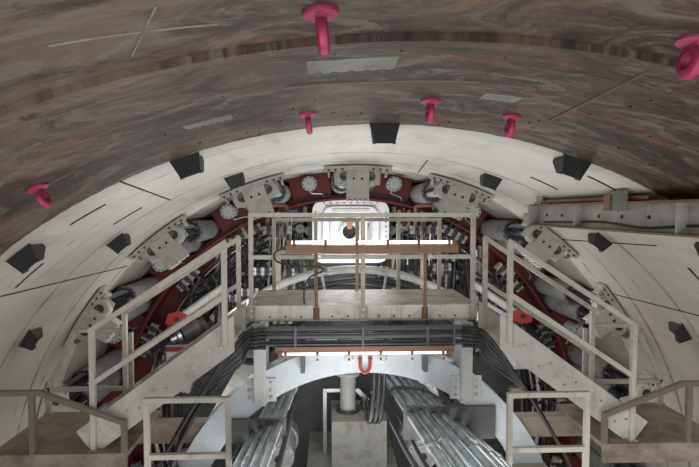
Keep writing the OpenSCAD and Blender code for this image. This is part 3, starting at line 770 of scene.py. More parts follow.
class SHIELD_OT_stage(bpy.types.Operator):
    """Camera, floor, world and lights"""

    bl_idname = "shield.stage"
    bl_label = "Stage"

    def execute(self, context):
        scene = context.scene
        settings = scene.shield
        scene.view_settings.view_transform = "Standard"
        eye = at(CAMERA_X, -CAMERA_BACK, CAMERA_UP)
        camera_data = bpy.data.cameras.new("camera")
        camera_data.lens = CAMERA_LENS
        camera_data.sensor_width = CAMERA_SENSOR
        camera_data.clip_start, camera_data.clip_end = CAMERA_CLIP
        camera = bpy.data.objects.new("camera", camera_data)
        scene.collection.objects.link(camera)
        down, right = radians(CAMERA_DOWN_DEG), radians(CAMERA_RIGHT_DEG)
        ahead = Vector((sin(right) * cos(down), cos(right) * cos(down), -sin(down)))
        camera.location = eye
        camera.rotation_euler = ahead.to_track_quat("-Z", "Y").to_euler()
        scene.camera = camera

        bpy.ops.mesh.primitive_plane_add(size=FLOOR_SIZE, location=(0, 0, 0))
        floor = context.object
        floor.name = "floor"
        tree = Tree("floor")
        speck = tree.noise(3.0, 3.0)
        pale = tree.mix(speck, (0.80, 0.80, 0.79), (0.76, 0.76, 0.75))
        floor.data.materials.append(tree.finish(pale, 0.8))

        world = bpy.data.worlds.new("sky")
        scene.world = world
        world.use_nodes = True
        sky = world.node_tree.nodes["Background"]
        sky.inputs[0].default_value = (0.92, 0.93, 0.95, 1)
        sky.inputs[1].default_value = SKY_STRENGTH

        def lamp(name, place, target, size, power, kind="AREA"):
            data = bpy.data.lights.new(name, kind)
            data.energy = power
            if kind == "AREA":
                data.shape = "DISK"
                data.size = size
            else:
                data.shadow_soft_size = size
            light = bpy.data.objects.new(name, data)
            scene.collection.objects.link(light)
            light.location = place
            light.rotation_euler = (Vector(target) - Vector(place)).to_track_quat("-Z", "Y").to_euler()
            light.visible_camera = False

        power = settings.inner_light
        lamp("key", (-9, -14, 13), (0, 0, 3), 8.0, 2600)
        lamp("tail_fill", at(0, -1.6, 0.6), at(0, 4, 1.0), 4.5, power * 3.2)
        lamp("crown", at(0, 3.2, 0.4), at(0, 4.2, 3.6), 2.2, power * 1.6)
        lamp("deck_left", at(-1.7, 5.3, 1.9), at(-3, 5.5, 2.5), 0.4, power * 0.7, "POINT")
        lamp("deck_right", at(1.7, 5.3, 1.9), at(3, 5.5, 2.5), 0.4, power * 0.7, "POINT")
        lamp("behind_deck", at(0, 6.0, 2.45), at(0, 8, 2.2), 0.5, power * 1.25, "POINT")
        lamp("centre", at(0, 5.2, 0.5), at(0, 8, 0), 0.5, power * 0.35, "POINT")
        return {"FINISHED"}


class SHIELD_OT_shoes(bpy.types.Operator):
    """The shoes with their rods: curved pad, toothed block, end plate and bosses"""

    bl_idname = "shield.shoes"
    bl_label = "Thrust shoes"

    def execute(self, context):
        finish = ram_finish()
        rod_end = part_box("shoe_1")[1].y - TAIL_Y
        end = SHOE_T + SHOE_L
        # Outline of the block, with four teeth along its inner edge
        low, high, wide, tooth = 3.195, 3.552, 0.125, 0.250 / 9
        outline = [(-wide, high), (-wide, low + 0.02), (-wide + 0.008, low)]
        for k in range(4):
            start = -wide + (2 * k + 1) * tooth
            outline += [(start, low), (start + 0.004, low + 0.034), (start + tooth - 0.004, low + 0.034),
                        (start + tooth, low)]
        outline += [(wide - 0.008, low), (wide, low + 0.02), (wide, high)]
        for i in range(RAM_GROUPS):
            middle = i * RAM_STEP
            around, along, out = ways_at(middle)
            maker = Maker()
            maker.sector(middle, radians(6), 3.556, 3.585, SHOE_T, end, 10)
            maker.sector(middle, radians(6), 3.530, 3.557, SHOE_T, SHOE_T + 0.034, 10)
            maker.sector(middle, radians(4.3), 3.385, 3.560, end - 0.042, end - 0.001, 8)
            for side in (-1, 1):
                rib = middle + side * radians(5.2)
                maker.brick(polar(rib, 3.52, SHOE_T + 0.09), ways_at(rib), (0.020, 0.115, 0.09))
            maker.prism([at(0, SHOE_T + 0.006, 0) + around * x + out * r for x, r in outline],
                        along * (SHOE_L - 0.008))
            for side in (-1, 1):
                rod = middle + side * RAM_HALF
                maker.lathe(polar(rod, RAM_PITCH_R, end - SHOE_BOSS_L), along,
                            [(0, 0.098), (0.012, 0.110), (0.104, 0.110)], 40)
                maker.lathe(polar(rod, RAM_PITCH_R, end), along,
                            [(0, ROD_R - 0.004), (0.010, ROD_R), (rod_end - end, ROD_R)], 48)
            piece = maker.done(f"thrust_shoe_{i + 1}", f"shoe_{i + 1}", "shoe_paint", finish)
            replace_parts(piece, f"shoe_{i + 1}")
        return {"FINISHED"}


# Degrees right of the top, metres from the tail's end to the near plate
BRACKETS = [(0, 2.26), (-18.9, 2.30), (18.9, 2.30), (-37.9, 2.45), (37.9, 2.45)]
BRACKETS += [(side * degrees, 3.9) for degrees in (18.9, 37.9, 56.8) for side in (-1, 1)]
# X and z where each pipe passes the ring beam, and its radius, in metres
PIPES = [
    (0.430, 1.190, 0.038), (0.530, 1.200, 0.042), (0.640, 1.180, 0.038), (0.740, 1.160, 0.050),
    (0.860, 1.100, 0.042), (0.960, 1.040, 0.038), (-1.020, 1.030, 0.032), (-0.940, 1.070, 0.032),
    (-0.860, 1.100, 0.032), (-0.780, 1.120, 0.032),
]
# Degrees right of the top, metres from the tail's end
LUGS = [(-5.6, 0.52), (-27.3, 1.65), (-6.9, 1.83), (2.2, 1.61), (9.1, 1.76), (10.2, 0.57)]


class SHIELD_OT_skin_fittings(bpy.types.Operator):
    """Black brackets with tapering webs, pink lifting eyes and the beam with its brown flanges"""

    bl_idname = "shield.skin_fittings"
    bl_label = "Skin fittings"

    def brackets(self):
        black = painted("bracket_black", (0.014, 0.014, 0.016), grime=(0.05, 0.042, 0.036), dirt=0.5,
                        chip=(0.10, 0.07, 0.05))
        # Near plate, wider at the skin, with two tapering webs and a stop behind it
        plate = [(-0.090, 0.001), (-0.060, 0.118), (0.060, 0.118), (0.090, 0.001)]
        web = [(0.010, 0.0), (0.010, 0.122), (0.075, 0.112), (0.195, 0.030), (0.195, 0.0)]
        stop = [(-0.06, 0.0), (-0.06, 0.056), (0.06, 0.056), (0.06, 0.0)]
        maker = Maker()
        for degrees, t in BRACKETS:
            around, along, out = ways_at(radians(degrees))

            def spot(x, ahead, depth):
                return at(0, t + ahead, 0) + around * x + out * (TAIL_R - depth)

            maker.prism([spot(x, 0, depth) for x, depth in plate], along * 0.014)
            for x in (-0.066, 0.054):
                maker.prism([spot(x, ahead, depth) for ahead, depth in web], around * 0.012)
            maker.prism([spot(x, 0.150, depth) for x, depth in stop], along * 0.010)
        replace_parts(maker.done("black_brackets", "shield", "black_steel", black, 0.0015), "skin_brackets")

    def lugs(self):
        pink = painted("lug_pink", (0.45, 0.03, 0.12), dirt=0.25)
        eye = [(-0.015, 0.0215), (-0.015, 0.036), (-0.009, 0.044), (0.0, 0.046), (0.009, 0.044),
               (0.015, 0.036), (0.015, 0.0215)]
        maker = Maker()
        for degrees, t in LUGS:
            angle = radians(degrees)
            around, along, out = ways_at(angle)
            centre = polar(angle, TAIL_R - 0.06, t)
            rows = [circle(centre + around * step, out, along, radius, 40) for step, radius in eye]
            maker.weave(rows, True)
            maker.lathe(polar(angle, TAIL_R - 0.0005, t), -out,
                        [(0, 0.046), (0.010, 0.046), (0.014, 0.040)], 28)
            maker.brick(polar(angle, TAIL_R - 0.014, t), (around, along, out), (0.026, 0.056, 0.018))
        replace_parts(maker.done("pink_lifting_eyes", "shield", "lug_pink", pink), "lifting_lugs")

    def beam(self):
        low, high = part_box("hoist_beam")
        x, t0, t1 = (low.x + high.x) / 2, low.y - TAIL_Y, high.y - TAIL_Y
        z0, z1 = low.z - AXIS_Z, low.z - AXIS_Z + 0.20
        wide, flange = 0.08, 0.014
        maker = Maker()
        maker.block(x, 0.005, (t0, t1), (z0 + flange, z1 - flange))
        for t in (t0 + 0.2, t0 + 1.3, t1 - 0.24):
            maker.box(at(x - 0.06, t, z1 - 0.001), at(x - 0.02, t + 0.16, z1 + 0.02))
            maker.box(at(x - 0.046, t + 0.02, z1 + 0.019), at(x - 0.034, t + 0.14, z1 + 0.070))
        for t in (t0 + 0.7, t0 + 1.9, t1 - 0.04):
            maker.box(at(x - wide + 0.006, t, z0 + flange), at(x + wide - 0.006, t + 0.010, z1 - flange))
        maker.box(at(x - 0.09, t1 - 0.03, z0 + 0.01), at(x + 0.06, t1, z1 - 0.01))
        paint = painted("beam_paint", (0.42, 0.41, 0.38), dirt=0.6)
        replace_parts(maker.done("hoist_beam_web", "shield", "cream_paint", paint), "hoist_beam")
        group = Group("hoist_beam_flanges")
        brown = group["brown"]
        brown.block(x, wide, (t0, t1), (z0, z0 + flange))
        brown.block(x, wide, (t0, t1), (z1 - flange, z1))
        brown.rod(at(x - 0.03, t0 + 1.0, z1 + 0.019), at(x - 0.03, t1 - 0.3, z1 + 0.019), 0.018)
        group.done(0.001)

    def execute(self, context):
        self.brackets()
        self.lugs()
        self.beam()
        return {"FINISHED"}


class SHIELD_OT_red_ring(bpy.types.Operator):
    """Dark red plates between the barrels, with their round inner lip"""

    bl_idname = "shield.red_ring"
    bl_label = "Red ring"

    def execute(self, context):
        maker = Maker()
        hole_r = 0.142
        free = RAM_STEP / 2 - RAM_HALF - asin(hole_r / RAM_PITCH_R)
        inner, outer, near, far = 3.27, 3.651, 6.70, 6.80
        for i in range(RAM_GROUPS):
            maker.sector((i + 0.5) * RAM_STEP, free, inner, outer, near, far, 6)
            maker.sector(i * RAM_STEP, RAM_STEP / 2 - free, inner, 3.325, near, far, 6)
            maker.sector(i * RAM_STEP, RAM_STEP / 2 - free, 3.618, outer, near, far, 6)
        # The lip is a round band
        band = [(3.24, 6.60), (3.272, 6.60), (3.272, 6.92), (3.24, 6.92)]
        points, faces, sides = [], [], 190
        for k in range(sides):
            points += [polar(2 * pi * k / sides, r, t) for r, t in band]
            for j in range(4):
                n, ahead = (j + 1) % 4, ((k + 1) % sides) * 4
                faces.append((4 * k + j, ahead + j, ahead + n, 4 * k + n))
        maker.add(points, faces)
        red = painted("ring_red", (0.13, 0.012, 0.016), grime=(0.03, 0.02, 0.02), dirt=0.65)
        maker.done("red_ring_plates", "shield", "red_paint", red)
        return {"FINISHED"}


class SHIELD_OT_landing_guards(bpy.types.Operator):
    """Guards at the far side of the landings"""

    bl_idname = "shield.landing_guards"
    bl_label = "Landing guards"

    def execute(self, context):
        rails = Maker()
        bar, floor = 0.04, LANDING_Z - AXIS_Z
        for side in (-1, 1):
            for x0, z0, x1, z1 in ((2.20, floor, 2.20, 1.98), (2.18, 1.96, 2.70, 1.96),
                                   (2.70, 1.975, 2.975, 1.40), (2.975, 1.42, 2.975, floor),
                                   (2.20, 1.40, 2.975, 1.40)):
                a, b = at(side * x0, GUARD_T, z0), at(side * x1, GUARD_T, z1)
                ahead = (b - a).normalized()
                rails.brick((a + b) / 2, (ahead, AHEAD, ahead.cross(AHEAD)), ((b - a).length, bar, bar))
        paint = painted("guard_paint", (0.46, 0.43, 0.37), dirt=0.5, wear=0.8)
        rails.done("landing_guards", "shield", "rail_paint", paint, 0.003)
        return {"FINISHED"}


class SHIELD_OT_finishes(bpy.types.Operator):
    """Finishes of the machine's CAD pieces"""

    bl_idname = "shield.finishes"
    bl_label = "Finishes"

    def execute(self, context):
        settings = context.scene.shield
        cream_paint = painted("cream_paint", tuple(settings.cream))
        white_paint = painted("white_paint", tuple(settings.white), dirt=0.25, wear=0.3)
        rail_paint = painted("rail_paint", (0.52, 0.49, 0.42), dirt=0.5, wear=0.8)
        clean = {"dirt": 0.15, "wear": 0.3, "dust": 0.2}
        lock_white = (0.84, 0.86, 0.87)
        finishes = {
            "tail_skin": tail_finish(settings),
            "mid_skin": shell_paint(settings),
            "front_skin": rusted_plate(),
            "bulkhead": painted("bulkhead_paint", (0.16, 0.16, 0.155), dirt=0.6),
            "thrust_ring": painted("red_paint", (0.16, 0.018, 0.022), (0.04, 0.03, 0.03), dirt=0.55),
            "ram_barrels": painted("barrel_paint", (0.24, 0.24, 0.23), (0.06, 0.057, 0.055), dirt=0.85),
            "port_covers": painted("cover_paint", (0.46, 0.50, 0.48), dirt=0.35),
            "drive_housing": painted("drive_paint", (0.075, 0.08, 0.085), (0.03, 0.028, 0.026), dirt=0.6),
            "drive_motors": white_paint,
            "man_lock": painted("lock_paint", lock_white, **clean),
            "lock_door": painted("door_paint", lock_white, **clean),
            "ring_beam": painted("arch_paint", (0.60, 0.655, 0.69), dirt=0.2, wear=0.3, dust=0.2),
            "girders": cream_paint,
            "upper_deck": painted("deck_paint", (0.80, 0.78, 0.73), (0.22, 0.175, 0.13),
                                  dirt=0.55, dust=0.7),
            "guard_rails": rail_paint,
            "dark_rails": painted("worn_rail", (0.15, 0.128, 0.105), chip=(0.28, 0.24, 0.20),
                                  dirt=0.6, wear=1.0),
            "stairs": painted("stair_paint", (0.50, 0.48, 0.44), dirt=0.45),
            "landings": checkered("deck_steel", (0.29, 0.235, 0.185), (0.15, 0.11, 0.085)),
            "lower_steps": rail_paint,
            "cable_tray": painted("tray_grey", (0.10, 0.105, 0.12), (0.10, 0.09, 0.08), dirt=0.5),
            "lamps": painted("lamp_brown", (0.27, 0.13, 0.075), (0.14, 0.08, 0.05), dirt=0.5),
            "pipework": metal("pipe_steel", (0.56, 0.64, 0.65), 0.26, dirt=0.6, rust=0.15),
            "pipe_clamps": painted("clamp_paint", (0.10, 0.10, 0.095), (0.05, 0.045, 0.04), dirt=0.7),
            "riser_pipe": by_height("riser_paint", (0.05, 0.055, 0.065), (0.52, 0.53, 0.51),
                                    0.275, dirt=0.35),
            "centre_floor": painted("floor_paint", (0.40, 0.395, 0.36), (0.13, 0.11, 0.09), dirt=0.7),
            "cutting_head": painted("head_steel", (0.15, 0.13, 0.11), chip=(0.32, 0.30, 0.28),
                                    dirt=0.7, wear=1.0),
            "head_tools": metal("tool_steel", (0.30, 0.28, 0.26), 0.4, rust=0.5),
        }
        for node, material in finishes.items():
            give(node, material)
        return {"FINISHED"}


class SHIELD_OT_hoses(bpy.types.Operator):
    """The five long hoses"""

    bl_idname = "shield.hoses"
    bl_label = "Hoses"

    def hose(self, number, points):
        """One cord through points in mm: right of the axis, from the tail's end and above the axis."""
        path = curve([at(x / 1000, t / 1000, z / 1000) for x, t, z in points], 8)
        length = sum((b - a).length for a, b in zip(path, path[1:]))
        maker = Maker()
        maker.tube(path, HOSE_R, 16)
        piece = maker.done(f"black_hose_{number}", "shield", "black_steel", small("rubber"))
        tuple(path[0])

    def execute(self, context):
        # Three from the deck's underside to the centre floor
        drop = [(4700, 2168), (4700, 1850), (4740, 1500), (4950, 900), (5500, 500), (6200, 430),
                (6560, 390), (6598, 340), (6600, 290), (6600, 232)]
        for k, x in enumerate((170, 225, 280)):
            self.hose(k + 1, [(x, t, z) for t, z in drop])
        # Two from the arch's joint block to the landing
        for k in range(2):
            t, side = 4070 - k * 85, k * 70
            self.hose(k + 4, [(-961, t, 1700), (-1040, t, 1700), (-1140, t, 1695),
                              (-1280, t - 60, 1640 - side), (-1420, t - 160, 1500 - side),
                              (-1550, t - 300, 1270 - side), (-1630, t - 400, 1020 - side / 2),
                              (-1650, t - 430, 860), (-1650, t - 430, 780), (-1650, t - 430, 700.6)])
        return {"FINISHED"}


# Name, left and right end, metres from the tail's end, and height above the axis
LAMPS = [("upper_tube", -0.70, 0.86, 4.05, 2.797), ("lower_tube", -0.77, 0.77, 3.868, 1.812)]


class SHIELD_OT_lamp_tubes(bpy.types.Operator):
    """Glowing tubes, clips, hooks and cable of the two lamps"""

    bl_idname = "shield.lamp_tubes"
    bl_label = "Lamp tubes"

    def execute(self, context):
        bright = glow("tube_light", (0.95, 0.97, 1.0), 1.3)
        group = Group("lamp_fittings")
        brown = group["brown"]
        for name, x0, x1, t, z in LAMPS:
            long = x1 - x0
            maker = Maker()
            profile = [(0, 0.010), (0.012, 0.017), (long - 0.012, 0.017), (long, 0.010)]
            maker.lathe(at(x0, t, z), ACROSS, profile, 20)
            maker.done(name, "shield", "lamp_body", bright)
            for k in range(6):
                x = x0 + 0.06 + k * (long - 0.12) / 5
                brown.ring(at(x - 0.012, t, z), ACROSS, 0.024, 0.0175, 0.024, 16)
                brown.bolt(at(x, t - 0.032, z - 0.05), TOWARD_TAIL, 0.008, 0.008)
            for x in (x0, x1 - 0.03):
                brown.box(at(x - 0.005, t - 0.026, z - 0.03), at(x + 0.035, t + 0.026, z + 0.02))
        # Hooks that hold the upper lamp to the middle rail, and its cable
        rail_z = 2.655
        for x in (-0.41, 0.64):
            hook = ((4.03, 2.75), (4.05, 2.69), (4.105, rail_z + 0.02), (4.108, rail_z - 0.02))
            group["steel"].strap(curve([at(x, t, z) for t, z in hook], 4), 0.035, 0.006, ACROSS)
        cable = ((-0.73, 4.06, 2.75), (-0.82, 4.06, 2.70), (-0.80, 4.06, 2.62), (-0.6, 4.06, 2.575),
                 (-0.42, 4.05, 2.57), (-0.38, 4.05, 2.53), (-0.50, 4.06, 2.47), (-0.55, 4.07, 2.35),
                 (-0.55, 4.08, 2.22))
        group["rubber"].tube(curve([at(*p) for p in cable], 6), 0.009, 8)
        group.done()
        return {"FINISHED"}


class SHIELD_OT_ram_details(bpy.types.Operator):
    """Gland rings and bolts of the rams, bolts of the port covers, and what is bolted to each shoe"""

    bl_idname = "shield.ram_details"
    bl_label = "Ram details"

    def execute(self, context):
        group = Group("ram_fittings")
        dark = group["dark_steel"]
        for i in range(RAM_GROUPS):
            for s in (-1, 1):
                centre = polar(i * RAM_STEP + s * RAM_HALF, RAM_PITCH_R, BARREL_T)
                dark.ring(centre, TOWARD_TAIL, 0.116, ROD_R + 0.006, 0.008, 40)
                dark.bolt_circle(centre, TOWARD_TAIL, 0.129, 12, 0.0075, 0.009, 0.2)
            middle = (i + 0.5) * RAM_STEP
            cover = polar(middle, COVER_R, COVER_T)
            dark.bolt_circle(cover, TOWARD_TAIL, 0.085, 10, 0.0075, 0.009)
            group["white"].ring(cover, TOWARD_TAIL, 0.052, 0.040, 0.004, 28)
            # Greasing pipe from the cover's neck to the next ram's port
            around, _, out = ways_at(middle)
            start = polar(middle, COVER_R - 0.074, COVER_T + 0.2)
            end = polar(middle + RAM_HALF * 1.2, 3.30, COVER_T + 0.24)
            pipe = [start, start - out * 0.05, end + out * 0.05 - around * 0.03, end]
            group["steel"].tube(curve(pipe, 5), 0.008)
        group.done()
        for i in range(RAM_GROUPS):
            angle = i * RAM_STEP
            around, _, out = ways_at(angle)
            shoe = Group(f"shoe_fittings_{i + 1}", f"shoe_{i + 1}")
            steel, dark = shoe.several("steel", "dark_steel")
            for s in (-1, 1):
                socket = polar(angle, 3.44, SHOE_T + 0.006) + around * (s * 0.045)
                steel.ring(socket, TOWARD_TAIL, 0.024, 0.014, 0.004, 20)
                # A near-black disc in the socket's hole is painted shade
                shoe["gap"].lathe(socket, TOWARD_TAIL, [(0, 0.014), (0.002, 0.014)], 16)
                for k in range(3):
                    spot = polar(angle, 3.5435, SHOE_T) + around * (s * (0.17 + 0.075 * k))
                    dark.bolt(spot - out * (0.0065 * k), TOWARD_TAIL, 0.010, 0.006)
                boss = polar(angle + s * RAM_HALF, RAM_PITCH_R, SHOE_T + SHOE_L - SHOE_BOSS_L)
                steel.bolt_circle(boss, TOWARD_TAIL, 0.078, 6, 0.008, 0.008, 0.3)
                dark.lathe(boss, TOWARD_TAIL,
                           [(0, 0.052), (0.007, 0.050), (0.009, 0.028), (0.004, 0.02)], 28)
            shoe.done()
        return {"FINISHED"}


def weld(maker, points, radius, draw):
    """A slightly uneven weld bead: points are degrees right of the top and metres from the tail's end."""
    path = []
    for (a0, t0), (a1, t1) in zip(points, points[1:]):
        steps = max(2, int(((a1 - a0) * 0.063) ** 2 + (t1 - t0) ** 2) * 12 + 8)
        for k in range(steps):
            f = k / steps
            angle = radians(a0 + (a1 - a0) * f + draw.uniform(-0.02, 0.02))
            path.append(polar(angle, TAIL_R - 0.001, t0 + (t1 - t0) * f))
    path.append(polar(radians(points[-1][0]), TAIL_R - 0.001, points[-1][1]))
    maker.tube(path, radius, 6)


class SHIELD_OT_skin_details(bpy.types.Operator):
    """Welds, cut slots, patches and burrs inside the skin, and bolts on its outside"""

    bl_idname = "shield.skin_details"
    bl_label = "Skin details"

    def execute(self, context):
        draw = random.Random(context.scene.shield.seed)
        group = Group("skin")
        gap, rusty = group.several("gap", "rust_bead")
        # Dark lines in the painted part, and slots whose near-black bricks are painted shade
        for points in ([(-25.1, 2.29), (-27.9, 3.79)], [(9.3, 3.98), (11.5, 5.29)],
                       [(38.5, 3.2), (40.0, 5.3)], [(-46.0, 2.9), (-47.0, 5.3)],
                       [(52.0, 2.6), (53.5, 5.3)]):
            weld(gap, points, 0.006, draw)
        for angle, t in ((-31.5, 2.65), (-32.0, 3.40), (24.7, 2.62), (23.0, 3.35),
                         (44.5, 3.1), (-43.0, 3.0)):
            half = radians(2.0)
            for k in range(6):
                a = radians(angle) - half + k * half / 3 + half / 6
                gap.brick(polar(a, TAIL_R - 0.002, t + 0.004 * k), ways_at(a),
                          (half / 3 * TAIL_R, 0.022, 0.006))
        # Welds in the rusted part, and its pale patches with a row of weld spots
        for points in ([(11.7, 1.69), (10.9, 0.84)], [(-8.0, 1.25), (-2.0, 1.28), (4.0, 1.24)],
                       [(-30.0, 1.1), (-22.0, 1.13)], [(20.0, 1.5), (29.0, 1.46)]):
            weld(rusty, points, 0.007, draw)
        for angle, t, wide, deep in ((-4.0, 1.02, 0.34, 0.16), (6.5, 1.45, 0.16, 0.12),
                                     (-14.0, 1.62, 0.22, 0.10)):
            angle = radians(angle)
            around, along, out = ways_at(angle)
            group["pale"].brick(polar(angle, TAIL_R - 0.0005, t), (around, along, out), (wide, deep, 0.006))
            for k in range(7):
                corner = polar(angle, TAIL_R - 0.003, t)
                spot = corner + around * (wide * (k / 6 - 0.5)) + along * (deep / 2)
                rusty.lathe(spot, -out, [(-0.004, 0.006), (0.0, 0.013), (0.005, 0.009), (0.007, 0.002)], 8)
        # Chalk cross on the plate near the tail's end
        for cross in ([(-15.6, 0.44), (-9.6, 0.52)], [(-13.6, 0.62), (-11.2, 0.36)]):
            weld(group["chalk"], cross, 0.0032, draw)
        # Burrs and pits left where clamps were cut off
        for k in range(150):
            angle = radians(draw.gauss(7.0, 14.0))
            t = draw.choice((draw.uniform(0.8, 2.2), draw.uniform(1.8, 2.25)))
            size = draw.uniform(0.003, 0.009)
            profile = [(-0.002, size), (size * 0.5, size * draw.uniform(0.5, 0.9)),
                       (size * 0.7, size * 0.2)]
            (gap if k % 3 else rusty).lathe(polar(angle, TAIL_R + 0.001, t), -ways_at(angle)[2], profile, 7)
        # Bolts of two joints on the outside
        for t in (5.46, 7.44):
            for i in range(72):
                angle = i * pi / 36
                place = polar(angle, SHIELD_R - 0.004, t)
                group["dark_steel"].lathe(place, ways_at(angle)[2], [(0, 0.022), (0.0035, 0.020)], 12)
        group.done()
        return {"FINISHED"}


def valve(group, centre, ways, scale=1.0):
    """A hydraulic valve: body, two round coils with end nuts, and a plug."""
    around, along, _ = ways
    size = 0.06 * scale
    group["dark_steel"].brick(centre, ways, (size * 1.5, size, size))
    for s in (-1, 1):
        base = centre + around * (s * size * 0.75)
        end = base + around * (s * size * 1.15)
        coil = [(0, size * 0.42), (size * 1.1, size * 0.42), (size * 1.15, size * 0.3)]
        group["black"].lathe(base, around * s, coil, 14)
        group["steel"].lathe(end, around * s, [(0, size * 0.18), (size * 0.3, size * 0.18)], 6)
    group["black"].brick(centre - along * size * 0.8, ways, (size * 0.5, size * 0.6, size * 0.5))


def fitting(group, base, axis, radius):
    """A hose fitting: hexagon nut, collar and swaged sleeve."""
    group["steel"].lathe(base, axis, [(0, radius * 1.7), (radius * 1.6, radius * 1.7)], 6)
    group["steel"].lathe(base, axis, [(radius * 1.6, radius * 1.25), (radius * 4.6, radius * 1.25),
                                      (radius * 4.8, radius * 1.05)], 12)


def manifold(group, centre, ways, count, finish="cream"):
    """A drilled block with valves towards the tail. Returns the places of the fittings on its inner side."""
    around, along, out = ways
    pitch = 0.115
    length = pitch * count + 0.04
    group[finish].brick(centre, ways, (length, 0.10, 0.11))
    ports = []
    for k in range(count):
        spot = centre + around * (pitch * (k - (count - 1) / 2))
        valve(group, spot - along * 0.08, (out, along, around), 0.9)
        port = spot - out * 0.055
        fitting(group, port, -out, 0.011)
        ports.append(port - out * 0.05)
    for s in (-1, 1):
        group["dark_steel"].bolt(centre + around * (s * (length / 2 - 0.012)) - along * 0.05,
                                 -along, 0.008, 0.008)
    return ports


# Pipes that go round the ring: distance from the axis and the tail's end, radius and finish
RING_PIPES = [
    (3.02, 6.98, 0.024, "steel"), (2.94, 7.06, 0.03, "white"), (2.86, 7.12, 0.022, "steel"),
    (2.80, 7.22, 0.035, "rubber"), (2.70, 7.16, 0.018, "brown"), (2.60, 7.24, 0.03, "rubber"),
]


class SHIELD_OT_ring_clutter(bpy.types.Operator):
    """Hydraulic blocks, pipes and hoses round the dark red ring and in front of the bulkhead"""

    bl_idname = "shield.ring_clutter"
    bl_label = "Ring hydraulics"

    def execute(self, context):
        draw = random.Random(context.scene.shield.seed + 1)
        group = Group("ring_hydraulics")
        cream, hose, dark = group.several("cream", "rubber", "dark_steel")
        clear = radians(17.0)
        ports = []
        for i in range(RAM_GROUPS):
            angle = (i + 0.5) * RAM_STEP
            turned = (angle + pi) % (2 * pi) - pi
            if abs(turned) < clear:
                continue
            ways = ways_at(angle)
            out = ways[2]
            centre = polar(angle, BLOCK_R, BLOCK_T)
            cream.brick(centre + out * 0.10, ways, (0.05, 0.08, 0.12))
            found = manifold(group, centre, ways, draw.choice((3, 4)),
                             draw.choice(("cream", "white", "steel")))
            ports.append((turned, found))
        # Hoses from each block to a ring pipe behind it, and on to the next block
        for turned, found in ports:
            out = ways_at(turned)[2]
            for port in found:
                end = polar(turned + draw.uniform(-0.06, 0.06), draw.uniform(2.78, 2.98),
                            draw.uniform(6.95, 7.3))
                low = port - out * draw.uniform(0.05, 0.22) + Vector((0, 0.03, -0.05))
                hose.tube(curve([port, port - out * 0.04, low, end + Vector((0, -0.1, 0.02)), end], 5),
                          draw.choice((0.010, 0.013, 0.016)))
        for (a, left), (b, right) in zip(ports, ports[1:]):
            if abs(b - a) > RAM_STEP * 1.5:
                continue
            for k in range(3):
                start, end = draw.choice(left), draw.choice(right)
                inward = -(ways_at((a + b) / 2)[2]) * draw.uniform(0.02, 0.16)
                hose.tube(sagging(start, end, draw.uniform(0.03, 0.16), 8, inward),
                          draw.choice((0.011, 0.015, 0.019)))
        # Ring pipes, with clamps, open at the lock
        gap = radians(13.5)
        for radius, t, size, finish in RING_PIPES:
            group[finish].tube(arc(radius, t, gap, 2 * pi - gap, 90), size, 10)
        for k in range(26):
            angle = gap + (k + 0.5) * (2 * pi - 2 * gap) / 26
            ways = ways_at(angle)
            cream.brick(polar(angle, 2.86, 7.30), ways, (0.04, 0.05, 0.56))
            for radius, t in ((3.02, 6.98), (2.86, 7.12), (2.70, 7.16)):
                dark.brick(polar(angle, radius, t + 0.05), ways, (0.035, 0.20, 0.06))
        # Junction boxes with cables
        for k in range(14):
            angle = gap + 0.12 + (k + draw.uniform(0.2, 0.8)) * (2 * pi - 2 * gap - 0.24) / 14
            ways = ways_at(angle)
            around, along, out = ways
            spot = polar(angle, draw.uniform(2.45, 2.62), 7.08)
            wide, tall = draw.uniform(0.16, 0.34), draw.uniform(0.14, 0.24)
            finish = draw.choice(("white", "cream", "cream", "steel"))
            group[finish].brick(spot, ways, (wide, 0.14, tall))
            group[finish].brick(spot - along * 0.075, ways, (wide * 0.9, 0.012, tall * 0.9))
            dark.brick(spot + along * 0.16, ways, (0.05, 0.2, 0.05))
            for j in range(4):
                start = spot - out * (tall / 2) + around * (wide * (j / 4 - 0.38))
                end = polar(angle + draw.uniform(-0.2, 0.2), draw.uniform(1.75, 2.1), 7.3)
                fitting(group, start, -out, 0.009)
                low = start.lerp(end, 0.5) + Vector((0, 0, -0.06))
                hose.tube(curve([start, start - out * 0.08, low, end], 5), 0.009)
        group.done()
        return {"FINISHED"}


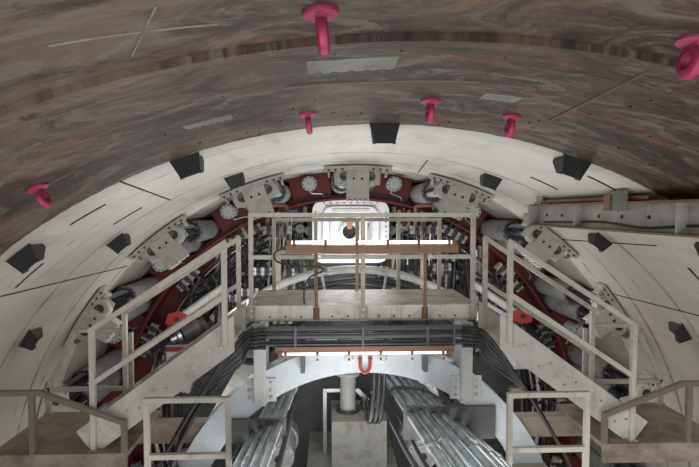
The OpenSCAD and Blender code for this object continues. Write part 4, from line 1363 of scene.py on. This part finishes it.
class SHIELD_OT_deck_clutter(bpy.types.Operator):
    """Behind the platform: pipe racks, bent pipes with blue valves, gauges, posts and hanging hoses"""

    bl_idname = "shield.deck_clutter"
    bl_label = "Behind the platform"

    def execute(self, context):
        draw = random.Random(context.scene.shield.seed + 2)
        group = Group("deck_hydraulics")
        dark, blue, cream, hose, steel, black = group.several("dark_steel", "blue", "cream", "rubber",
                                                              "steel", "black")
        ways = ACROSS, AHEAD, UP
        # Bent brown pipes with blue valve handles, on a manifold
        for x0, x1, side in ((-1.16, -0.90, -1), (0.90, 1.16, 1)):
            t, bend = 6.5, 0.03
            path = [(x0, 2.86), (x0, 3.10), (x0 + bend, 3.16), (x1 - bend, 3.16), (x1, 3.10), (x1, 2.86)]
            group["brown"].tube(curve([at(x, t, z) for x, z in path], 5), 0.030, 14)
            for x in (x0, x1):
                dark.ring(at(x, t, 2.98), UP, 0.055, 0.031, 0.022, 24)
                dark.bolt_circle(at(x, t, 3.002), UP, 0.045, 4, 0.007, 0.008)
            dark.brick(at(x1, 6.46, 3.06), ways, (0.07, 0.08, 0.07))
            blue.strap([at(x1 + 0.02, 6.40, 3.075), at(x1 + 0.16, 6.39, 3.085)], 0.030, 0.012, UP)
            blue.lathe(at(x1, 6.42, 3.06), TOWARD_TAIL, [(0, 0.022), (0.03, 0.022), (0.034, 0.012)], 16)
            middle = at((x0 + x1) / 2, 6.55, 2.82)
            ports = manifold(group, middle, ways, 3)
            cream.box(at((x0 + x1) / 2 - 0.035, 6.6, 1.55), at((x0 + x1) / 2 + 0.035, 6.67, 3.09))
            for port in ports:
                end = at(middle.x + side * draw.uniform(-0.1, 0.4), draw.uniform(6.7, 7.2),
                         draw.uniform(1.5, 1.9))
                hose.tube(curve([port, port - UP * 0.1,
                                 port.lerp(end, 0.5) + ACROSS * draw.uniform(-0.1, 0.1), end], 6),
                          draw.choice((0.012, 0.016, 0.02)))
        # Racks with pipes and gauges each side of the lock
        for side in (-1, 1):
            for x in (0.66, 1.45, 1.95):
                cream.block(side * x, 0.03, (6.98, 7.05), (1.45, rise(3.22, x)))
            for z in (1.75, 2.15, 2.5):
                reach = min(2.02, rise(3.1, z))
                cream.box(at(min(side * 0.62, side * reach), 7.05, z - 0.025),
                          at(max(side * 0.62, side * reach), 7.09, z + 0.025))
            for k in range(11):
                x = side * (0.74 + 0.115 * k)
                size = draw.choice((0.014, 0.018, 0.024, 0.032))
                top = rise(3.12, x)
                finish = draw.choice(("steel", "white", "rubber", "dark_steel", "rubber"))
                t = 6.93 + draw.uniform(-0.02, 0.02)
                group[finish].tube(curve([at(x, t, 1.5), at(x, t, 2.0),
                                          at(x + draw.uniform(-0.03, 0.03), t, 2.4), at(x, t, top)], 5),
                                   size, 10)
                for z in (1.77, 2.17):
                    dark.brick(at(x, t + 0.03, z), ways, (size * 2.6, 0.08, 0.035))
                if k % 3 == 1:
                    steel.lathe(at(x, t, draw.uniform(2.2, 2.45)), UP,
                                [(0, size * 1.8), (0.03, size * 1.8), (0.03, size * 1.3),
                                 (0.07, size * 1.3), (0.07, size * 1.8), (0.10, size * 1.8)], 12)
            for x, z in ((0.60, 2.80), (0.73, 2.83), (0.66, 2.62)):
                place = at(side * x, 6.86, z)
                steel.lathe(place, TOWARD_TAIL,
                            [(0, 0.074), (0.03, 0.074), (0.038, 0.066), (0.034, 0.062)], 28)
                group["pale"].lathe(place - AHEAD * 0.0345, TOWARD_TAIL, [(0, 0.061), (0.002, 0.061)], 28)
                black.lathe(place - AHEAD * 0.0365, TOWARD_TAIL, [(0, 0.010), (0.004, 0.008)], 12)
                black.strap([place - AHEAD * 0.039, place - AHEAD * 0.039 + (ACROSS + UP * 1.3) * 0.028],
                            0.006, 0.003, AHEAD.cross(ACROSS + UP))
                steel.rod(place, place + AHEAD * 0.14, 0.012, 10)
            cream.block(side * 0.66, 0.13, (6.98, 7.0), (2.56, 2.92))
        # Orange posts with a black valve between them, right of the lock
        for x in (0.70, 0.84):
            group["orange"].block(x, 0.022, (6.72, 6.77), (2.88, 3.10))
        steel.box(at(0.66, 6.77, 2.84), at(0.88, 6.98, 2.90))
        valve(group, at(0.77, 6.74, 2.98), (UP, AHEAD, ACROSS), 1.1)
        # Hanging hoses, with valve blocks among them
        for k in range(46):
            side = draw.choice((-1, 1))
            x = side * draw.uniform(0.72, 2.3)
            high = rise(3.0, x) - draw.uniform(0.0, 0.25)
            a = at(x, draw.uniform(6.65, 7.1), high)
            b = at(x + draw.uniform(-0.45, 0.45), draw.uniform(6.7, 7.3),
                   draw.uniform(0.9, max(1.0, high - 0.5)))
            hose.tube(sagging(a, b, draw.uniform(0.02, 0.25), 10, (draw.uniform(-0.1, 0.1), 0, 0)),
                      draw.choice((0.010, 0.013, 0.017, 0.022)))
        for k in range(16):
            side = draw.choice((-1, 1))
            x = side * draw.uniform(0.85, 2.1)
            z = draw.uniform(1.5, min(2.4, rise(2.7, x)))
            manifold(group, at(x, 6.84, z), ways, draw.choice((1, 2)),
                     draw.choice(("white", "cream", "steel")))
        group.done()
        return {"FINISHED"}


class SHIELD_OT_lock_details(bpy.types.Operator):
    """Frame, bolts, sight ring and handle of the lock and its door"""

    bl_idname = "shield.lock_details"
    bl_label = "Lock details"

    def execute(self, context):
        group = Group("lock_fittings")
        middle = (LOCK_LOW + LOCK_HIGH) / 2
        face = LOCK_LOW.y
        wide, tall = (LOCK_HIGH.x - LOCK_LOW.x) / 2, (LOCK_HIGH.z - LOCK_LOW.z) / 2
        for side in (-1, 1):
            for k in range(9):
                z = middle.z + (k / 4 - 1) * (tall - 0.17)
                group["steel"].bolt(Vector((side * (wide - 0.045), face, z)), TOWARD_TAIL, 0.011, 0.010)
        for k in range(9):
            x = (k / 4 - 1) * (wide - 0.17)
            group["steel"].bolt(Vector((x, face, middle.z + tall - 0.04)), TOWARD_TAIL, 0.011, 0.010)
        group["white"].tube([Vector((x, face - 0.006, middle.z + tall - 0.085))
                             for x in (-0.36, 0.0, 0.36)], 0.012)
        group.done()
        door = Group("door_fittings", "door")
        white, steel, orange = door.several("white", "steel", "orange")
        centre = Vector((-0.02, DOOR_LOW.y, (DOOR_LOW.z + DOOR_HIGH.z) / 2))
        white.ring(centre, TOWARD_TAIL, 0.150, 0.098, 0.045, 48)
        # A near-black disc inside the sight ring is painted shade
        door["gap"].lathe(centre, TOWARD_TAIL, [(0, 0.098), (0.004, 0.098)], 40)
        steel.bolt_circle(centre + TOWARD_TAIL * 0.045, TOWARD_TAIL, 0.128, 12, 0.010, 0.010)
        orange.box(centre + Vector((-0.035, -0.075, 0.04)), centre + Vector((0.035, -0.050, 0.17)))
        orange.rod(centre + Vector((-0.055, -0.062, 0.17)), centre + Vector((0.055, -0.062, 0.17)), 0.015)
        height = (DOOR_HIGH.z - DOOR_LOW.z) / 2
        reach = (DOOR_HIGH.x - DOOR_LOW.x) / 2 - 0.06
        for z in (-height + 0.055, height - 0.055):
            white.box(centre + Vector((-reach + 0.12, -0.014, z - 0.02)),
                      centre + Vector((reach - 0.08, 0, z + 0.02)))
        for x in (-reach + 0.10, reach - 0.06):
            white.box(centre + Vector((x - 0.02, -0.014, -height + 0.10)),
                      centre + Vector((x + 0.02, 0, height - 0.10)))
        grip = ((-0.03, -0.12), (-0.07, -0.08), (-0.07, 0.08), (-0.03, 0.12))
        steel.tube(curve([centre + Vector((reach - 0.1, y, z)) for y, z in grip], 5), 0.012, 10)
        door.done()
        # Bolts and end caps of the drive motors
        motors = Group("motor_fittings")
        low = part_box("drive_motors")[0].y - TAIL_Y
        for i in range(8):
            angle = (i + 0.5) * pi / 4
            out = ways_at(angle)[2]
            centre = polar(angle, MOTOR_PITCH_R, low)
            motors["white"].lathe(centre, TOWARD_TAIL,
                                  [(0, 0.16), (0.035, 0.155), (0.05, 0.12), (0.052, 0.04)], 36)
            motors["steel"].bolt_circle(centre, TOWARD_TAIL, 0.19, 10, 0.012, 0.012)
            cap = [(0, 0.05), (0.03, 0.05), (0.034, 0.03)]
            motors["dark_steel"].lathe(centre + TOWARD_TAIL * 0.05, TOWARD_TAIL, cap, 20)
            base = centre + Vector((0, 0.2, 0))
            for k in range(2):
                end = polar(angle + 0.25 - 0.5 * k, 1.55, low + 0.55)
                path = [base + out * 0.215, base + out * 0.27, end + Vector((0, -0.2, 0)), end]
                motors["rubber"].tube(curve(path, 6), 0.018)
        motors.done()
        return {"FINISHED"}


class SHIELD_OT_arch_details(bpy.types.Operator):
    """Bosses, joint plates and bolts of the white ring beam, its red shackle, and the cables of the tray"""

    bl_idname = "shield.arch_details"
    bl_label = "Arch details"

    def execute(self, context):
        group = Group("arch_fittings")
        white, steel, red = group.several("white", "steel", "red")
        face = RING_T
        for x, z in ((-0.135, 1.73), (0.174, 1.726)):
            white.lathe(at(x, face + 0.003, z), TOWARD_TAIL,
                        [(0, 0.042), (0.018, 0.042), (0.022, 0.036)], 28)
            steel.bolt_circle(at(x, face - 0.017, z), TOWARD_TAIL, 0.028, 6, 0.005, 0.005)
        # Posts, and the bolted joint plates beside them
        for side in (-1, 1):
            white.block(side * 0.955, 0.053, (face - 0.047, face - 0.002), (1.323, 2.058))
            for x in (side * 0.855, side * 1.055):
                white.block(x, 0.048, (face - 0.012, face), (1.335, 1.551))
                for k in range(3):
                    steel.bolt(at(x, face - 0.012, 1.375 + k * 0.068), TOWARD_TAIL, 0.013, 0.012)
        # Red shackle that hangs from the arch, with its pin
        bow = [(-0.046, 1.735), (-0.046, 1.69), (-0.044, 1.645), (-0.026, 1.61), (0.0, 1.60),
               (0.026, 1.61), (0.044, 1.645), (0.046, 1.69), (0.046, 1.735)]
        red.tube(curve([at(0.01 + x, face - 0.03, z) for x, z in bow], 4), 0.015, 12)
        red.rod(at(-0.055, face - 0.03, 1.728), at(0.075, face - 0.03, 1.728), 0.013)
        white.box(at(-0.018, face - 0.048, 1.69), at(0.038, face, 1.79))
        group.done()
        cables = Group("tray_cables")
        hose = cables["rubber"]
        tray_low, tray_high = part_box("cable_tray")
        y = tray_low.y - TAIL_Y
        top, bottom = tray_high.z - AXIS_Z, tray_high.z - AXIS_Z - 0.184
        for k in range(6):
            z = top - 0.02 - 0.033 * k
            r = (0.015, 0.013, 0.016)[k % 3]
            # Steps across, along and down from the tray's end
            run = [(0.88, -0.012, 0), (0.96, -0.012, 0), (1.04, 0, 0.02), (1.13, 0.02, 0.09 + 0.015 * k),
                   (1.36 + 0.02 * k, -0.06, 0.42), (1.62 + 0.02 * k, -0.16, 0.86),
                   (1.78 + 0.01 * k, -0.2, 1.12)]
            for side in (-1, 1):
                hose.tube(curve([at(side * x, y + ahead, z - down) for x, ahead, down in run], 6), r, 8)
            if k in (1, 4):
                hose.tube([at(-0.95, y - 0.008, z), at(0.0, y - 0.010, z - 0.004),
                           at(0.95, y - 0.008, z)], 0.009, 8)
        for x in (-0.62, 0.56, 0.80, -0.02):
            cables["dark_steel"].strap([at(x, y - 0.034, top), at(x, y - 0.036, bottom)],
                                       0.022, 0.004, ACROSS)
        cables.done()
        return {"FINISHED"}


# Posts on the landings: X, metres from the tail's end, and how far their foot plates reach to both sides
POST_FEET = [(2.21, 3.42, 0.036, 0.036), (2.21, 4.10, 0.036, 0.036)]
POST_FEET += [(2.20, GUARD_T, 0.034, 0.02), (2.975, GUARD_T, 0.034, 0.02)]


class SHIELD_OT_deck_details(bpy.types.Operator):
    """Plates, bolts and welds of the platform, nosings of the stairs, and feet of the landings' posts"""

    bl_idname = "shield.deck_details"
    bl_label = "Deck details"

    def execute(self, context):
        group = Group("deck_fittings")
        cream, steel = group.several("cream", "steel")
        front = DECK_T
        top = 2.2
        for x in (-1.05, 0.0, 1.05):
            cream.block(x, 0.04, (front - 0.012, front), (top - 0.13, top - 0.01))
            for z in (top - 0.10, top - 0.04):
                steel.bolt(at(x, front - 0.012, z), TOWARD_TAIL, 0.011, 0.010)
        for k in range(15):
            group["dark_steel"].bolt(at(-1.02 + k * 0.146, front, top - 0.105), TOWARD_TAIL, 0.007, 0.006)
        cream.tube([at(x, front - 0.004, top - 0.139) for x in (-1.085, 0.0, 1.085)], 0.007)
        # Feet of the two rods that carry the upper lamp
        for x in (-0.44, 0.586):
            group["brown"].block(x, 0.03, (front - 0.010, front), (top - 0.14, top - 0.02))
            for z in (top - 0.115, top - 0.05):
                steel.bolt(at(x, front - 0.010, z), TOWARD_TAIL, 0.010, 0.009)
        # Nosings, bolts and weld beads of the treads
        steps, tread = 5, (3.462, 4.058)
        x_high, z_high, x_low, z_low = 1.140, 2.060, 2.230, 1.260
        for side in (-1, 1):
            for i in range(steps):
                x = x_low - (i + 0.5) * (x_low - x_high) / steps
                z = z_low + (i + 0.5) * (z_high - z_low) / steps
                cream.block(side * (x + 0.121), 0.004, tread, (z + 0.004, z + 0.026))
                for dz in (-0.03, 0.03):
                    steel.bolt(at(side * x + 0.05 * dz / 0.03, 3.441, z + dz * 0.3 - 0.01),
                               TOWARD_TAIL, 0.008, 0.008)
                group["bead"].tube([at(side * (x - 0.11), 3.466, z + 0.022),
                                    at(side * (x + 0.11), 3.466, z + 0.022)], 0.004)
        # Foot plates of the landings' posts
        landing = 1.17
        for side in (-1, 1):
            for x, t, near, far in POST_FEET:
                cream.block(side * x, 0.036, (t - near, t + far), (landing + 0.0005, landing + 0.009))
        group.done(0.0015)
        return {"FINISHED"}


class SHIELD_OT_pipe_details(bpy.types.Operator):
    """The white arched pipe, couplings, flange bolts and straps of the pipes, and the hoses beside them"""

    bl_idname = "shield.pipe_details"
    bl_label = "Pipe details"

    def execute(self, context):
        draw = random.Random(context.scene.shield.seed + 4)
        group = Group("pipe_fittings")
        steel, brass, hose = group.several("steel", "brass", "rubber")
        group["white"].tube(arc(ARCH_PIPE_R, ARCH_PIPE_T, radians(-62), radians(62), 60), 0.050, 20)
        # Couplings round the arched pipe, with clamp levers
        for degrees in (-38, -33, -9, 9, 31, 36):
            angle = radians(degrees)
            around = ways_at(angle)[0]
            centre = polar(angle, ARCH_PIPE_R, ARCH_PIPE_T)
            steel.ring(centre - around * 0.035, around, 0.066, 0.0505, 0.07, 24)
            for s in (-1, 1):
                lever = centre + Vector((0, -0.06, 0)) + ways_at(angle)[2] * (s * 0.03)
                steel.strap([lever - around * 0.05, lever + around * 0.03,
                             lever + around * 0.07 + Vector((0, -0.03, 0))], 0.022, 0.008, UP)
            brass.bolt(centre + Vector((0, -0.064, 0)), TOWARD_TAIL, 0.012, 0.014)
        # Hoses below the arched pipe
        for k, drop in enumerate((0.13, 0.18, 0.24, 0.30)):
            path = [polar(radians(a), ARCH_PIPE_R - drop + 0.03 * sin(k + a * 0.09), 5.78 + 0.03 * k)
                    for a in range(-56, 57, 7)]
            hose.tube(curve(path, 3), (0.028, 0.022, 0.026, 0.018)[k], 12)
        for degrees in range(-50, 51, 20):
            angle = radians(degrees)
            steel.strap([polar(angle, r, 5.74) for r in (2.42, 2.25, 2.02)], 0.03, 0.005, ways_at(angle)[0])
        # Flange bolts of the white riser
        for z in (0.27, 0.79):
            steel.bolt_circle(at(RISER_X, RISER_T, z), UP, 0.142, 8, 0.012, 0.014)
        group["cream"].ring(at(RISER_X, RISER_T, 0.272), UP, 0.1185, 0.1105, 0.02, 40)
        # Grey frame beside the riser, and a small blue valve
        near, far = 6.62, 6.67
        steel.box(at(-0.40, near, 0.49), at(-0.14, far, 0.54))
        steel.box(at(-0.40, near, -0.412), at(-0.35, far, 0.50))
        brace = ((0.05, 0.52), (0.11, 0.54), (0.40, 0.24), (0.33, 0.22))
        steel.prism([at(x, near, z) for x, z in brace], AHEAD * 0.05)
        steel.box(at(0.33, near, 0.229), at(0.38, far, 0.25))
        axis = Vector((1, 0, 0.3))
        handle = [(0, 0.03), (0.005, 0.05), (0.10, 0.05), (0.105, 0.03)]
        group["blue"].lathe(at(0.34, 6.75, 0.44), axis, handle, 18)
        brass.lathe(at(0.30, 6.75, 0.43), axis, [(0, 0.02), (0.05, 0.02)], 6)
        hose.tube(curve([at(0.31, 6.75, 0.43), at(0.2, 6.76, 0.38), at(0.14, 6.8, 0.2),
                         at(0.14, 6.8, 0.07)], 5), 0.014)
        # Black hoses that lie beside and under both bundles of pipes
        for k in range(13):
            x = (-1.12, -1.07, -0.985, -0.90, -0.82, -0.73, 0.375, 0.48, 0.585, 0.69, 0.80, 0.91, 1.02)[k]
            drop = (0.05, 0.075, 0.09)[k % 3]
            z = 1.08 - abs(abs(x) - 0.75) * 0.3 - drop
            path = [at(x + 0.02 * sin(k + t), t, z - 0.16 * (t - 4.0) + 0.012 * sin(3 * t + k))
                    for t in (2.2, 2.8, 3.4, 3.9, 4.4, 5.0, 5.6, 6.1)]
            hose.tube(curve(path, 4), (0.024, 0.019, 0.028)[k % 3], 10)
        # Dark strap round the right bundle, and a coupling on each pipe
        def on_pipe(x, z, t):
            return at(x, t, z - PIPE_FALL * (t - PIPE_PLACE_T))

        loop = [(0.37, 1.20), (0.40, 1.25), (0.53, 1.26), (0.74, 1.23), (0.93, 1.13), (1.01, 1.05),
                (0.99, 0.985), (0.86, 1.04), (0.74, 1.095), (0.53, 1.145), (0.40, 1.14), (0.37, 1.19)]
        group["webbing"].strap(curve([on_pipe(x, z, 5.0) for x, z in loop], 4), 0.09, 0.006, AHEAD)
        for x, z, r in PIPES:
            t = draw.uniform(2.6, 3.4)
            slope = (on_pipe(x, z, 5) - on_pipe(x, z, 4)).normalized()
            base = on_pipe(x, z, t)
            steel.lathe(base, slope, [(0, r * 1.3), (r * 1.1, r * 1.3)], 6)
            steel.lathe(base - slope * r * 1.2, slope, [(0, r * 1.15), (r * 3.6, r * 1.15)], 20)
        group.done()
        return {"FINISHED"}


class SHIELD_OT_beam_details(bpy.types.Operator):
    """Web bolts, blank plate, brown box and cable of the hoist beam"""

    bl_idname = "shield.beam_details"
    bl_label = "Hoist beam details"

    def execute(self, context):
        group = Group("beam_fittings")
        x = (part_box("hoist_beam")[0].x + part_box("hoist_beam")[1].x) / 2
        for k in range(9):
            group["dark_steel"].bolt(at(x - 0.006, 1.45 + 0.3 * k, 3.05), -ACROSS, 0.010, 0.010)
        group["pale"].box(at(1.564, 2.46, 3.09), at(1.571, 2.63, 3.225))
        group["brown"].box(at(1.562, 2.66, 3.09), at(1.60, 2.74, 3.20))
        cable = ((1.35, 3.0), (1.9, 3.01), (2.4, 2.985), (2.9, 3.01), (3.4, 3.0), (3.9, 2.99))
        group["rubber"].tube(curve([at(x - 0.012, t, z) for t, z in cable], 6), 0.008)
        group.done()
        return {"FINISHED"}


# Outline of the red clevis: X and z from its pivot
CLEVIS = [(-0.16, -0.05), (-0.12, 0.08), (0.02, 0.12), (0.15, 0.05), (0.14, -0.07), (0.0, -0.10)]


class SHIELD_OT_side_machines(bpy.types.Operator):
    """Hydraulic motors with white arms and red clevises beside the drive, seen through the stairs"""

    bl_idname = "shield.side_machines"
    bl_label = "Side machines"

    def execute(self, context):
        group = Group("side_machines")
        white, red, steel, cream = group.several("white", "red", "steel", "cream")
        for side in (-1, 1):
            pivot = at(side * 2.36, 6.35, 1.62)
            arm_end = at(side * 1.80, 6.75, 2.02)
            white.rod(pivot, arm_end, 0.055, 20)
            white.rod(pivot + Vector((0, 0, -0.12)), arm_end + Vector((side * 0.05, 0.1, -0.2)), 0.035, 16)
            red.prism([pivot + Vector((x, -0.05, z)) for x, z in CLEVIS], AHEAD * 0.03)
            pin = pivot + Vector((0, -0.075, 0.01))
            group["dark_steel"].lathe(pin, AHEAD, [(0, 0.028), (0.11, 0.028)], 20)
            body = at(side * 2.30, 6.25, 1.42)
            shaft = Vector((side * 0.8, -0.5, -0.35))
            casing = [(0, 0.07), (0.02, 0.115), (0.26, 0.115), (0.28, 0.09), (0.36, 0.09)]
            group["black"].lathe(body, -shaft, casing, 28)
            steel.lathe(body, shaft, [(0, 0.09), (0.05, 0.09), (0.06, 0.05), (0.14, 0.045)], 24)
            steel.bolt_circle(body, shaft, 0.078, 8, 0.009, 0.062)
            white.block(side * 2.42, 0.16, (6.52, 6.60), (0.82, 1.22))
            red.block(side * 2.42, 0.165, (6.515, 6.605), (1.13, 1.20))
            cream.block(side * 2.42, 0.05, (6.60, 6.95), (0.9, 1.0))
            cream.block(side * 2.36, 0.05, (6.38, 7.0), (1.50, 1.60))
        group.done(0.002)
        return {"FINISHED"}


class SHIELD_OT_head_details(bpy.types.Operator):
    """Wear plates on the rim of the cutting head"""

    bl_idname = "shield.head_details"
    bl_label = "Head details"

    def execute(self, context):
        group = Group("head_fittings", "head")
        dark = group["dark_steel"]
        low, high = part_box("cutting_head")
        front = high.y - TAIL_Y
        rim_r = (high.x - low.x) / 2
        count, plate = 48, (0.20, 0.05, 0.008)
        for i in range(count):
            # Two rows, the second turned by half a step
            for turn, back in ((0, 0.165), (pi / count, 0.255)):
                angle = 2 * pi * i / count + turn
                dark.brick(polar(angle, rim_r - 0.003, front - back), ways_at(angle), plate)
        group.done()
        return {"FINISHED"}


OPERATORS = [
    SHIELD_OT_stage, SHIELD_OT_hoses, SHIELD_OT_shoes, SHIELD_OT_skin_fittings, SHIELD_OT_red_ring,
    SHIELD_OT_landing_guards, SHIELD_OT_finishes, SHIELD_OT_lamp_tubes, SHIELD_OT_ram_details,
    SHIELD_OT_skin_details, SHIELD_OT_ring_clutter, SHIELD_OT_deck_clutter, SHIELD_OT_lock_details,
    SHIELD_OT_arch_details, SHIELD_OT_deck_details, SHIELD_OT_pipe_details, SHIELD_OT_beam_details,
    SHIELD_OT_side_machines, SHIELD_OT_head_details,
]


class SHIELD_PT_panel(bpy.types.Panel):
    """Lists the shield's pieces"""

    bl_label = "Tunnel shield"
    bl_idname = "SHIELD_PT_panel"
    bl_space_type = "VIEW_3D"
    bl_region_type = "UI"
    bl_category = "Tunnel shield"

    def draw(self, context):
        settings = context.scene.shield
        for name in settings.bl_rna.properties.keys():
            if name not in ("rna_type", "name"):
                self.layout.prop(settings, name)
        for operator in OPERATORS:
            self.layout.operator(operator.bl_idname)


CLASSES = [ShieldSettings, *OPERATORS, SHIELD_PT_panel]


def register():
    for each in CLASSES:
        bpy.utils.register_class(each)
    bpy.types.Scene.shield = PointerProperty(type=ShieldSettings)


def unregister():
    del bpy.types.Scene.shield
    for each in reversed(CLASSES):
        bpy.utils.unregister_class(each)


def main():
    register()
    for operator in OPERATORS:
        group, name = operator.bl_idname.split(".")
        getattr(getattr(bpy.ops, group), name)()


if __name__ == "__main__":
    main()
